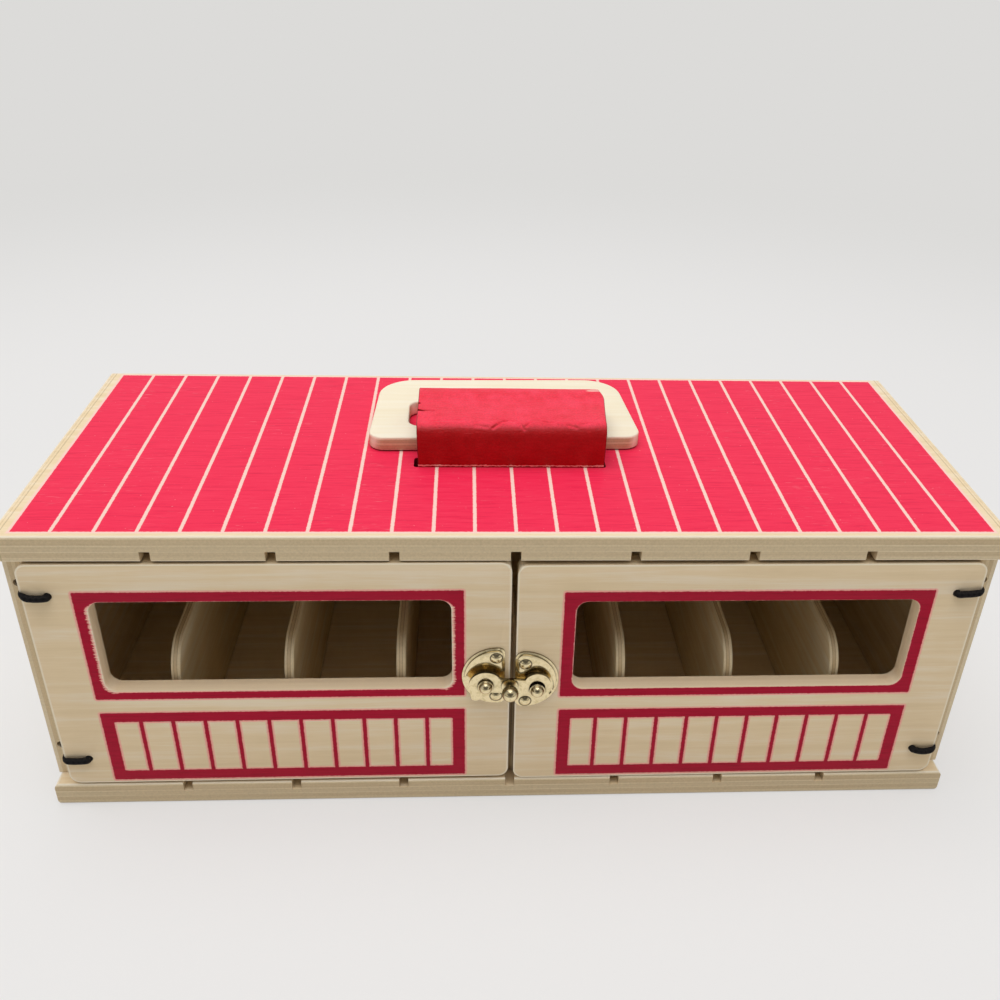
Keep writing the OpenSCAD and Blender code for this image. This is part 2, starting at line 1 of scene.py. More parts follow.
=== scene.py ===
# %% [markdown]
# # A toy barn with opening doors
# The barn is a low plywood case with eight stalls, two doors on elastic cords, a brass latch and a
# carrying handle held by a vinyl strap. Its boards, doors and latch arrive as finished CAD solids.
# Here they get their finishes, and the two soft things on it, the strap and the hinge cords, are
# built anew, because a CAD solid of cloth or cord has no folds, no braid and no cut edges.
# Everything is in metres, in the same frame as the CAD: X to the right, Y to the back, Z up.

import bpy
import numpy as np
from mathutils import Matrix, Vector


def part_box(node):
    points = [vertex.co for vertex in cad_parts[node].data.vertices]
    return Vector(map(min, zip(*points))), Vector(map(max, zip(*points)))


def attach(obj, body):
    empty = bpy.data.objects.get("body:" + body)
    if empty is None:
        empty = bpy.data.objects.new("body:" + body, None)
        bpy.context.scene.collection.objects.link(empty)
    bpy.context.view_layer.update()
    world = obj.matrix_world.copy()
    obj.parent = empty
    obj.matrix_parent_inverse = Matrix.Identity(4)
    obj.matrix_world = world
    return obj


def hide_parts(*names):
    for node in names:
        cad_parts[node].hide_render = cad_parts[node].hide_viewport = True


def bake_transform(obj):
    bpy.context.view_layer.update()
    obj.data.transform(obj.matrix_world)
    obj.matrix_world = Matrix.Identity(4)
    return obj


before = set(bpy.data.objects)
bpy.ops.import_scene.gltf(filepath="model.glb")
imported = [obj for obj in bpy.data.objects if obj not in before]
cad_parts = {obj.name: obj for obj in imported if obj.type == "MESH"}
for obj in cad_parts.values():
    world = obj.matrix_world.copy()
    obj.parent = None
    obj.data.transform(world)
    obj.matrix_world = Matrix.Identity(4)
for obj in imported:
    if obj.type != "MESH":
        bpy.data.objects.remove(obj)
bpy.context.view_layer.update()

# %% [markdown]
# ## The camera
# A product picture is matched by a camera, not by moving the object. The focal length, the place and
# the three turns of the camera come from lining up the corners of base and roof with the picture.
# A look-at constraint would also aim it, but then the small roll would be lost, so the three
# directions of the camera are written out and put into its matrix.

# %% Camera
def standing(right, up, back, place):
    """The matrix of a thing that stands at a place: its columns are right, up, back and the place."""
    return Matrix(np.vstack([np.column_stack([right, up, back, place]), [0, 0, 0, 1]]).tolist())


pitch, yaw, roll = np.radians([30.976, 4.192, 2.167])
forward = np.array([np.sin(yaw) * np.cos(pitch), np.cos(yaw) * np.cos(pitch), -np.sin(pitch)])
level = np.array([np.cos(yaw), -np.sin(yaw), 0.0])
upright = np.cross(level, forward)
to_right = np.cos(roll) * level + np.sin(roll) * upright
to_top = -np.sin(roll) * level + np.cos(roll) * upright

camera = bpy.data.objects.new("camera", bpy.data.cameras.new("camera"))
bpy.context.scene.collection.objects.link(camera)
camera_at = (-0.01550, -0.33711, 0.27845)
camera.matrix_world = standing(to_right, to_top, -forward, camera_at)
camera.data.lens = 37.147
camera.data.shift_x, camera.data.shift_y = -0.03157, 0.0298
camera.data.clip_start, camera.data.clip_end = 0.01, 50
bpy.context.scene.camera = camera
bpy.context.scene.view_settings.view_transform = "Standard"
print("camera at", tuple(round(v, 4) for v in camera.location), "lens", camera.data.lens, "mm")

# %% [markdown]
# ## Two helpers for materials
# Colours are written as sRGB hex values, the way a paint chart gives them, and turned to the linear
# light that the renderer works in. Nodes are placed by one function, so that a material reads as a
# list of steps: each line names a node, what goes into it and which of its outputs is used.

# %% Colours and nodes
def linear(hex_colour):
    """sRGB hex to linear RGBA: below 0.04045 divide by 12.92, above it ((c + 0.055) / 1.055) ^ 2.4."""
    c = np.array([int(hex_colour[i:i + 2], 16) for i in (1, 3, 5)]) / 255
    low, high = c / 12.92, ((c + 0.055) / 1.055) ** 2.4
    return (*np.where(c <= 0.04045, low, high).tolist(), 1.0)


def add(tree, kind, inputs=None, out=0, ramp=None, **settings):
    """Adds one node and returns its output number out. inputs pairs a socket's name or number with a
    value, a hex colour or another node's output; ramp lists the places and colours of a colour ramp."""
    node = tree.nodes.new("ShaderNode" + kind)
    for key, value in settings.items():
        setattr(node, key, value)
    for key, value in (inputs or {}).items():
        if isinstance(value, bpy.types.NodeSocket):
            tree.links.new(value, node.inputs[key])
        else:
            node.inputs[key].default_value = linear(value) if isinstance(value, str) else value
    if ramp:
        elements = node.color_ramp.elements
        while len(elements) < len(ramp):
            elements.new(0.5)
        for element, (place, colour) in zip(elements, ramp):
            element.position, element.color = place, linear(colour)
    return node.outputs[out]


def new_material(name):
    """An empty material with its node tree and its output node."""
    material = bpy.data.materials.new(name)
    material.use_nodes = True
    material.node_tree.nodes.clear()
    return material, material.node_tree


print("cream #F6E3C0 in linear light:", np.round(linear("#F6E3C0"), 3).tolist())

# %% [markdown]
# ## Light, world and floor
# The picture has the light of a white photo studio: soft light from straight above, and a floor that
# throws light back up. A bright point lamp would give hard shadows, so one large soft area lamp hangs
# over the object, and the world gives the rest, brighter from above than from the sides. The camera
# and reflections are shown a pale tone in place of that weaker light, and a slightly brighter floor,
# and neither of these lights the object. Behind the camera the studio is open to a dark room, and
# only shiny things show it.

# %% World, lamp and floor
world = bpy.data.worlds.new("studio_light")
bpy.context.scene.world = world
world.use_nodes = True
sky = world.node_tree
sky.nodes.clear()
direction = add(sky, "TexCoord")
height = add(sky, "SeparateXYZ", {0: direction}, out=2)
depth = add(sky, "SeparateXYZ", {0: direction}, out=1)
from_the_back, darkest, brightest = 0.12, 0.17, 0.47
lean = add(sky, "Math", {0: depth, 1: from_the_back, 2: height}, operation="MULTIPLY_ADD")
strength = add(sky, "MapRange", {0: lean, 1: -0.2, 2: 1.0, 3: darkest, 4: brightest})
glow = add(sky, "Background", {"Color": "#FFFDFA", "Strength": strength})

# The dark room is a soft oval among the directions to the front: |((x / w), (z - up) / h)| < 1
patch_w, patch_h, patch_up = 0.75, 0.38, 0.36
moved = add(sky, "VectorMath", {0: direction, 1: (1 / patch_w, 0, 1 / patch_h),
                                2: (0, 0, -patch_up / patch_h)}, operation="MULTIPLY_ADD")
off = add(sky, "VectorMath", {0: moved}, out=1, operation="LENGTH")
patch = add(sky, "MapRange", {0: off, 1: 0.75, 2: 1.15, 3: 0.9, 4: 0.0}, interpolation_type="SMOOTHSTEP")
ahead = add(sky, "Math", {0: depth, 1: 0.0}, operation="LESS_THAN")
patch = add(sky, "Math", {0: patch, 1: ahead}, operation="MULTIPLY")
rays = add(sky, "LightPath").node.outputs
patch = add(sky, "Math", {0: patch, 1: rays["Is Glossy Ray"]}, operation="MULTIPLY")
seen = add(sky, "Math", {0: rays["Is Camera Ray"], 1: rays["Is Transmission Ray"]}, operation="MAXIMUM")
seen = add(sky, "Math", {0: seen, 1: rays["Is Glossy Ray"]}, operation="MAXIMUM")
seen_tone = add(sky, "Mix", {0: patch, 6: "#E0DFDD", 7: "#17120E"}, out=2, data_type="RGBA")
pale = add(sky, "Background", {"Color": seen_tone, "Strength": 1.0})
shown = add(sky, "MixShader", {0: seen, 1: glow, 2: pale})
sky.links.new(shown, sky.nodes.new("ShaderNodeOutputWorld").inputs[0])

softbox = bpy.data.lights.new("softbox", "AREA")
softbox.shape, softbox.size, softbox.size_y = "RECTANGLE", 2.0, 1.4
softbox.energy = 23.5
lamp = bpy.data.objects.new("softbox", softbox)
bpy.context.scene.collection.objects.link(lamp)
lamp_at = np.array([-0.15, -0.12, 1.8])
aim = -lamp_at / np.linalg.norm(lamp_at)
side = np.cross(aim, [0, 0, 1.0])
side /= np.linalg.norm(side)
lamp.matrix_world = standing(side, np.cross(side, aim), -aim, lamp_at)


def surface(name, points, wrap=False, closed_ends=False, uv=None):
    """A mesh from a grid of points, rows x columns x 3: neighbours make four-sided faces. wrap joins the
    last column to the first, and closed_ends puts one face on the first and on the last row. The faces
    turn their fronts to the side from which rows run up when columns run to the right."""
    rows, columns = points.shape[:2]
    index = np.arange(rows * columns).reshape(rows, columns)
    right_of = np.roll(index, -1, axis=1) if wrap else index[:, 1:]
    here = index if wrap else index[:, :-1]
    quads = np.stack([here[:-1], right_of[:-1], right_of[1:], here[1:]], axis=-1).reshape(-1, 4)
    mesh = bpy.data.meshes.new(name)
    faces = quads.tolist()
    if closed_ends:
        faces += [index[0, ::-1].tolist(), index[-1].tolist()]
    mesh.from_pydata(points.reshape(-1, 3).tolist(), [], faces)
    mesh.shade_smooth()
    if uv is not None:
        layer = mesh.uv_layers.new(name="UVMap")
        corners = np.zeros(len(mesh.loops), np.int32)
        mesh.loops.foreach_get("vertex_index", corners)
        layer.data.foreach_set("uv", uv.reshape(-1, 2)[corners].astype(np.float32).ravel())
    piece = bpy.data.objects.new(name, mesh)
    bpy.context.scene.collection.objects.link(piece)
    return piece


# The floor: 24 m square, finely divided under the object; a point at share t lies at 12 t^3 metres
reach = 12.0 * np.linspace(-1, 1, 41) ** 3
across, away = np.meshgrid(reach, reach)
floor = surface("floor", np.stack([across, away, np.full_like(across, -0.0001)], axis=-1))
paper, tree = new_material("Matt white paper")
spot = add(tree, "TexCoord", out=3)
far = add(tree, "VectorMath", {0: spot}, out=1, operation="LENGTH")
fade = add(tree, "MapRange", {0: far, 1: 0.42, 2: 1.0}, interpolation_type="SMOOTHSTEP")
matt = add(tree, "BsdfPrincipled", {"Base Color": "#E6E5E3", "Roughness": 0.9, "Specular IOR Level": 0.2})
glow = add(tree, "Emission", {"Color": "#DCDBD9", "Strength": 1.0})
rays = add(tree, "LightPath").node.outputs
seen = add(tree, "Math", {0: rays["Is Camera Ray"], 1: rays["Is Glossy Ray"]}, operation="MAXIMUM")
lift = add(tree, "Math", {0: seen, 1: 0.55}, operation="MULTIPLY")
bright = add(tree, "Emission", {"Color": "#F2F1F1", "Strength": 1.0})
lifted = add(tree, "MixShader", {0: lift, 1: matt, 2: bright})
both = add(tree, "MixShader", {0: fade, 1: lifted, 2: glow})

# In front of the object shiny things see the dark room instead of the floor
toward = add(tree, "SeparateXYZ", {0: spot}, out=1)
open_front = add(tree, "MapRange", {0: toward, 1: -0.36, 2: -0.18, 3: 0.85, 4: 0.0},
                 interpolation_type="SMOOTHSTEP")
open_front = add(tree, "Math", {0: open_front, 1: rays["Is Glossy Ray"]}, operation="MULTIPLY")
room = add(tree, "Emission", {"Color": "#1E1812", "Strength": 1.0})
both = add(tree, "MixShader", {0: open_front, 1: both, 2: room})
tree.links.new(both, tree.nodes.new("ShaderNodeOutputMaterial").inputs[0])
floor.data.materials.append(paper)
print("softbox", softbox.energy, "W; floor", len(floor.data.polygons), "faces")

# %% [markdown]
# ## Plywood
# The case is birch-like plywood: thin peeled veneers glued crosswise. Its faces are cream with a soft,
# long grain. Its edges show the plies, because every second one is cut across its fibres and looks
# darker, with a thin dark line of glue between two. A picture of wood would do this quickly but would
# stretch on the edges, so the wood is solid: every colour is a function of the place in the board, and
# the board's own faces and edges cut through it.
#
# Object coordinates are the place in the CAD frame. They are multiplied by 1000 first, so every size
# in the material is a real one in millimetres.

# %% Plywood
MM_PER_M = (1000, 1000, 1000)


def shaped_box(tree, mm, middle, half, corner):
    """Distance in mm of a point from a rectangle with round corners, drawn across and up: with
    q = |p - middle| - (half - corner), it is length(max(q, 0)) + min(max(qx, qz), 0) - corner, and
    negative inside."""
    place = add(tree, "VectorMath", {0: mm, 1: (middle[0], 0, middle[1])}, operation="SUBTRACT")
    flat = add(tree, "VectorMath", {0: place, 1: (1, 0, 1)}, operation="MULTIPLY")
    size = add(tree, "VectorMath", {0: flat}, operation="ABSOLUTE")
    inner = (half[0] - corner, 1000, half[1] - corner)
    past = add(tree, "VectorMath", {0: size, 1: inner}, operation="SUBTRACT")
    kept = add(tree, "VectorMath", {0: past, 1: (0, 0, 0)}, operation="MAXIMUM")
    long = add(tree, "VectorMath", {0: kept}, out=1, operation="LENGTH")
    sides = add(tree, "SeparateXYZ", {0: past}).node.outputs
    nearer = add(tree, "Math", {0: sides[0], 1: sides[2]}, operation="MAXIMUM")
    deep = add(tree, "Math", {0: nearer, 1: 0.0}, operation="MINIMUM")
    round_off = add(tree, "Math", {0: long, 1: corner}, operation="SUBTRACT")
    return add(tree, "Math", {0: round_off, 1: deep}, operation="ADD")


def plywood(name, through, thick, plies, along, bands, repeat=None, low=0.0, ink=None, sanded=0.85,
            face=("#ECD4AC", "#F3DCB6", "#F7E5C8"), lean=(0.0, 0.0, 0.0), glue_line=0.12):
    """Plywood whose plies lie across the axis through, counted from the plane low, thick mm in all, its
    grain along the axis along. A negative low across X stands for two boards, one on each side, and
    repeat is the spacing of equal boards side by side. glue_line is how strong the dark lines between
    the plies are, and sanded how strong the painted highlight on the arrises is. ink(tree, mm, facing,
    body) lays the printed part over the wood's colour and returns the new colour and where the ink is.
    lean is an angle and the place, across and up in mm, about which a board leans: the pattern leans
    with it."""
    material, tree = new_material(name)
    axes = "XYZ"
    place = add(tree, "TexCoord", out=3)
    angle, x, z = lean[0], lean[1] / 1000, lean[2] / 1000
    shift = (x - x * np.cos(angle) - z * np.sin(angle), 0, z + x * np.sin(angle) - z * np.cos(angle))
    turned = add(tree, "Mapping", {"Vector": place, "Location": shift, "Rotation": (0, angle, 0)})
    mm = add(tree, "VectorMath", {0: turned, 1: MM_PER_M}, operation="MULTIPLY")
    parts = add(tree, "SeparateXYZ", {0: mm}).node.outputs
    facing = add(tree, "SeparateXYZ", {0: add(tree, "TexCoord", out=1)}).node.outputs

    # Grain: noise stretched along the fibres, 70 mm long and 3 mm wide, and fine pores 9 mm x 0.4 mm
    stretch = [1 / 3.0] * 3
    stretch[axes.index(along)] = 1 / 70.0
    fibres = add(tree, "Mapping", {"Vector": mm, "Scale": stretch}, vector_type="POINT")
    figure = add(tree, "TexNoise", {"Vector": fibres, "Scale": 1.0, "Detail": 4.0, "Roughness": 0.55,
                                    "Distortion": 0.6})
    fine = [1 / 0.4] * 3
    fine[axes.index(along)] = 1 / 9.0
    hair = add(tree, "Mapping", {"Vector": mm, "Scale": fine})
    pores = add(tree, "TexNoise", {"Vector": hair, "Scale": 1.0, "Detail": 2.0, "Roughness": 0.5})
    cloudy = add(tree, "TexNoise", {"Vector": mm, "Scale": 1 / 28.0, "Detail": 3.0, "Roughness": 0.6})
    grain = add(tree, "Math", {0: pores, 1: 0.28, 2: figure}, operation="MULTIPLY_ADD")
    toned = add(tree, "Math", {0: cloudy, 1: 0.35, 2: grain}, operation="MULTIPLY_ADD")
    wood = add(tree, "ValToRGB", {0: toned}, ramp=[(0.55, face[0]), (0.80, face[1]), (1.0, face[2])])

    # Plies: the depth into the board wobbles by 0.35 mm, as peeled veneers do
    depth_in = parts[axes.index(through)]
    if repeat:
        depth_in = add(tree, "Math", {0: depth_in, 1: thick / 2 + 40 * repeat}, operation="ADD")
        depth_in = add(tree, "Math", {0: depth_in, 1: repeat}, operation="MODULO")
    elif low < 0 and through == "X":
        depth_in = add(tree, "Math", {0: depth_in}, operation="ABSOLUTE")
        depth_in = add(tree, "Math", {0: depth_in, 1: -low - thick}, operation="SUBTRACT")
    else:
        depth_in = add(tree, "Math", {0: depth_in, 1: low}, operation="SUBTRACT")
    waves = add(tree, "TexNoise", {"Vector": mm, "Scale": 1 / 24.0, "Detail": 2.0})
    wobble = add(tree, "Math", {0: waves, 1: 0.35, 2: depth_in}, operation="MULTIPLY_ADD")
    mean_wobble = 0.18
    share = add(tree, "Math", {0: wobble, 1: thick + mean_wobble}, operation="DIVIDE")
    layer = add(tree, "ValToRGB", {0: share}, ramp=bands)
    layer.node.color_ramp.interpolation = "CONSTANT"

    # Sanding dust fills the edge in places, so the plies stand out here and fade there, over 80 mm
    dusty = add(tree, "TexNoise", {"Vector": mm, "Scale": 1 / 80.0, "Detail": 1.0})
    clear = add(tree, "MapRange", {0: dusty, 1: 0.42, 2: 0.6, 3: 0.35, 4: 0.8})
    layer = add(tree, "Mix", {0: clear, 6: "#E2CDA8", 7: layer}, out=2, data_type="RGBA")
    step = add(tree, "Math", {0: share, 1: float(plies)}, operation="MULTIPLY")
    near = add(tree, "Math", {0: step, 1: 0.5}, operation="PINGPONG")
    glue = add(tree, "MapRange", {0: near, 1: 0.0, 2: 0.09, 3: glue_line, 4: 0.0})
    ends = add(tree, "TexNoise", {"Vector": mm, "Scale": 1.3, "Detail": 3.0, "Roughness": 0.7})
    mottled = add(tree, "MapRange", {0: ends, 1: 0.3, 2: 0.75, 3: 0.9, 4: 1.06})
    plied = add(tree, "Mix", {0: 1.0, 6: layer, 7: mottled}, out=2, data_type="RGBA",
                blend_type="MULTIPLY")
    lined = add(tree, "Mix", {0: glue, 6: plied, 7: "#7C5B36"}, out=2, data_type="RGBA")
    outward = add(tree, "Math", {0: facing[axes.index(through)]}, operation="ABSOLUTE")
    edge = add(tree, "MapRange", {0: outward, 1: 0.45, 2: 0.8, 3: 1.0, 4: 0.0})
    body = add(tree, "Mix", {0: edge, 6: wood, 7: lined}, out=2, data_type="RGBA")

    # Arrises, neither face nor edge, are painted pale: a painted highlight where the round edge catches the
    # light. Tight corners are painted dark: painted shade.
    steep = add(tree, "VectorMath", {0: add(tree, "TexCoord", out=1)}, operation="ABSOLUTE")
    steep = add(tree, "SeparateXYZ", {0: steep}).node.outputs
    flattest = add(tree, "Math", {0: steep[0], 1: steep[1]}, operation="MAXIMUM")
    flattest = add(tree, "Math", {0: flattest, 1: steep[2]}, operation="MAXIMUM")
    arris_highlight = add(tree, "MapRange", {0: flattest, 1: 0.8, 2: 0.985, 3: sanded, 4: 0.0})
    body = add(tree, "Mix", {0: arris_highlight, 6: body, 7: "#FFF4DE"}, out=2, data_type="RGBA")
    shut_in = add(tree, "AmbientOcclusion", {"Distance": 0.003}, out=1, samples=6)
    corner_shade = add(tree, "MapRange", {0: shut_in, 1: 0.1, 2: 0.6, 3: 0.55, 4: 0.0})

    # Bare sanded wood is dull, and ink is a little smoother
    rough = add(tree, "MapRange", {0: toned, 1: 0.5, 2: 1.1, 3: 0.68, 4: 0.56})
    tall = add(tree, "MapRange", {0: grain, 1: 0.3, 2: 1.0})
    if ink:
        body, inked = ink(tree, mm, facing, body)
        rough = add(tree, "Mix", {0: inked, 2: rough, 3: 0.5}, out=0)
    # Painted shade: the tight corners found by the occlusion node are darkened
    body = add(tree, "Mix", {0: corner_shade, 6: body, 7: "#5A3D20"}, out=2, data_type="RGBA")
    bump = add(tree, "Bump", {"Strength": 0.2, "Distance": 0.0001, "Height": tall})
    shader = add(tree, "BsdfPrincipled", {"Base Color": body, "Roughness": rough, "Normal": bump,
                                          "Specular IOR Level": 0.15})
    tree.links.new(shader, tree.nodes.new("ShaderNodeOutputMaterial").inputs[0])
    return material


def finish_with(material, *names):
    """Puts a material on CAD nodes in place of their own."""
    for name in names:
        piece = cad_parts[name]
        piece.data.materials.clear()
        piece.data.materials.append(material)


# Places of the plies from the lower face up, and their tones: fibres along, or cut across
nine_mm = [(0.0, "#E8D5B2"), (0.20, "#D5BF9B"), (0.39, "#EDDDBE"), (0.43, "#DBC7A4"),
           (0.62, "#EDDDBE"), (0.66, "#D3BC97"), (0.88, "#EDDBB8")]
six_mm = [(0.0, "#F3E2C2"), (0.20, "#E4CFAA"), (0.42, "#F1DFBE"), (0.60, "#E0CAA4"), (0.80, "#F4E4C6")]
three_mm = [(0.0, "#EAD8B4"), (0.30, "#C4AA80"), (0.68, "#EAD8B4")]

finish_with(plywood("Birch plywood 9 mm, bare", "Z", 9.3, 7, "X", nine_mm), "base_board")
finish_with(plywood("Birch plywood 6 mm, end walls", "X", 6.5, 5, "Y", six_mm, low=-160.5),
            "wall_left", "wall_right")
finish_with(plywood("Plywood 4 mm, back", "Y", 4.0, 3, "X", three_mm, low=60.0,
                    face=("#EACF9C", "#F2DBAC", "#F7E5BE")), "back_panel")
finish_with(plywood("Poplar plywood 3 mm, stall dividers", "X", 3.2, 3, "Y", three_mm, repeat=38.1,
                    face=("#EBD3A6", "#F3DDB2", "#F8E8C6"), glue_line=0.85, sanded=0.1),
            *["divider_%d" % (i + 1) for i in range(7)])
print("plywood on", 4 + 7, "boards")

# %% [markdown]
# ## Printed colour on the roof and the doors
# The red is printed on the bare plywood, a thin layer with slightly ragged edges. The roof's print
# leaves thin stripes of bare wood, so that it reads as boards; a door's print is a window frame and
# below it a barred panel. Painting it by hand on a UV map would work, but the measures are simple, so
# each shape is a distance in millimetres: inside is red, and a little noise on the distance makes the
# ragged edge. Just outside the edge the wood is stained pink, which softens the line.

# %% Ink on the roof and on the doors
def edge_noise(tree, mm, reach):
    """Noise of reach mm, centred on nothing, with spots of about 0.7 mm."""
    spots = add(tree, "TexNoise", {"Vector": mm, "Scale": 1.4, "Detail": 3.0, "Roughness": 0.6})
    return add(tree, "MapRange", {0: spots, 1: 0.2, 2: 0.8, 3: -reach, 4: reach}, clamp=False)


def inside(tree, distance, soft, start=0.0):
    """1 where the distance is below start, 0 above, over soft mm on each side."""
    return add(tree, "MapRange", {0: distance, 1: start - soft, 2: start + soft, 3: 1.0, 4: 0.0},
               interpolation_type="SMOOTHSTEP")


def ink_tone(tree, mm, dark, mid, light):
    """The printed red: three near tones in streaks along the grain, each about 12 mm x 0.8 mm."""
    streaks = add(tree, "Mapping", {"Vector": mm, "Scale": (1 / 12.0, 1 / 0.8, 1 / 0.8)})
    streaky = add(tree, "TexNoise", {"Vector": streaks, "Scale": 1.0, "Detail": 4.0, "Roughness": 0.65})
    return add(tree, "ValToRGB", {0: streaky}, ramp=[(0.28, dark), (0.45, mid), (0.75, light)])


def printed(tree, body, tone, ragged, side_on, stain, reach):
    """Lays the tone where the distance ragged is below nothing and the stain up to reach mm outside it,
    both only on faces where side_on is 1. Returns the new colour and where the tone lies."""
    mask = add(tree, "Math", {0: inside(tree, ragged, 0.14), 1: side_on}, operation="MULTIPLY")
    halo = add(tree, "Math", {0: inside(tree, ragged, 0.3, reach), 1: side_on}, operation="MULTIPLY")
    weak = add(tree, "Math", {0: halo, 1: 0.85}, operation="MULTIPLY")
    body = add(tree, "Mix", {0: weak, 6: body, 7: stain}, out=2, data_type="RGBA")
    return add(tree, "Mix", {0: mask, 6: body, 7: tone}, out=2, data_type="RGBA"), mask


def roof_ink(tree, mm, facing, body):
    """Red over the top face: 154.2 mm to each side of the middle and 61.3 mm to the front and back of
    y = 0.2, less a bare stripe 1.15 mm wide every 12.93 mm."""
    half_wide, half_deep, middle_y, spacing, half_stripe = 154.2, 61.3, 0.2, 12.93, 0.575
    x, y, _ = add(tree, "SeparateXYZ", {0: mm}).node.outputs
    noise = edge_noise(tree, mm, 0.16)
    out_from_middle = add(tree, "Math", {0: x}, operation="ABSOLUTE")
    wide = add(tree, "Math", {0: out_from_middle, 1: half_wide}, operation="SUBTRACT")
    centred = add(tree, "Math", {0: y, 1: middle_y}, operation="SUBTRACT")
    to_front_or_back = add(tree, "Math", {0: centred}, operation="ABSOLUTE")
    deep = add(tree, "Math", {0: to_front_or_back, 1: half_deep}, operation="SUBTRACT")
    rim = add(tree, "Math", {0: wide, 1: deep}, operation="MAXIMUM")
    to_stripe = add(tree, "Math", {0: x, 1: spacing / 2}, operation="PINGPONG")
    stripe = add(tree, "Math", {0: half_stripe, 1: to_stripe}, operation="SUBTRACT")
    red = add(tree, "Math", {0: rim, 1: stripe}, operation="MAXIMUM")
    ragged = add(tree, "Math", {0: red, 1: noise}, operation="ADD")
    up = add(tree, "MapRange", {0: facing[2], 1: 0.9, 2: 0.97})

    # Fine white scuffs, 5 mm long and 0.3 mm wide, and specks, from things set down on the roof
    slanted = add(tree, "Mapping", {"Vector": mm, "Rotation": (0, 0, 0.9), "Scale": (1 / 5.0, 3.2, 1.0)})
    rubbed = add(tree, "TexNoise", {"Vector": slanted, "Scale": 1.0, "Detail": 1.0})
    patches = add(tree, "TexNoise", {"Vector": mm, "Scale": 1 / 30.0, "Detail": 2.0})
    where = add(tree, "MapRange", {0: patches, 1: 0.5, 2: 0.66})
    line = add(tree, "MapRange", {0: rubbed, 1: 0.68, 2: 0.78, 3: 0.0, 4: 0.45})
    scuff = add(tree, "Math", {0: line, 1: where}, operation="MULTIPLY")
    dots = add(tree, "TexNoise", {"Vector": mm, "Scale": 1 / 0.9, "Detail": 1.0})
    speck = add(tree, "MapRange", {0: dots, 1: 0.74, 2: 0.80, 3: 0.0, 4: 0.5})
    worn = add(tree, "Math", {0: scuff, 1: speck}, operation="MAXIMUM")
    # The roof's red is lighter than the doors' red: partly a painted sheen on the top face
    tone = ink_tone(tree, mm, "#E4224A", "#F52A52", "#F93A5C")
    tone = add(tree, "Mix", {0: worn, 6: tone, 7: "#F8B4B4"}, out=2, data_type="RGBA")

    # The top veneer thins out towards the ends, and the edges of the plies under it show as fine lines
    to_end = add(tree, "Math", {0: out_from_middle, 1: noise}, operation="ADD")
    for place_of, width, strength_of in ((157.3, 0.22, 0.5), (158.4, 0.16, 0.3)):
        beside = add(tree, "Math", {0: to_end, 1: place_of, 2: width}, operation="COMPARE")
        shown_line = add(tree, "Math", {0: beside, 1: strength_of}, operation="MULTIPLY")
        body = add(tree, "Mix", {0: shown_line, 6: body, 7: "#B7A27C"}, out=2, data_type="RGBA")

    # The strap's slots get dark red walls: painted shade inside the slots
    low_in = add(tree, "MapRange", {0: facing[2], 1: 0.3, 2: 0.6, 3: 1.0, 4: 0.0})
    near_x = add(tree, "Math", {0: out_from_middle, 1: 36.0}, operation="LESS_THAN")
    near_y = add(tree, "Math", {0: add(tree, "Math", {0: y}, operation="ABSOLUTE"), 1: 24.0},
                 operation="LESS_THAN")
    slot_shade = add(tree, "Math", {0: low_in, 1: near_x}, operation="MULTIPLY")
    slot_shade = add(tree, "Math", {0: slot_shade, 1: near_y}, operation="MULTIPLY")
    body = add(tree, "Mix", {0: slot_shade, 6: body, 7: "#8A2028"}, out=2, data_type="RGBA")
    return printed(tree, body, tone, ragged, up, "#FFD6CE", 0.9)


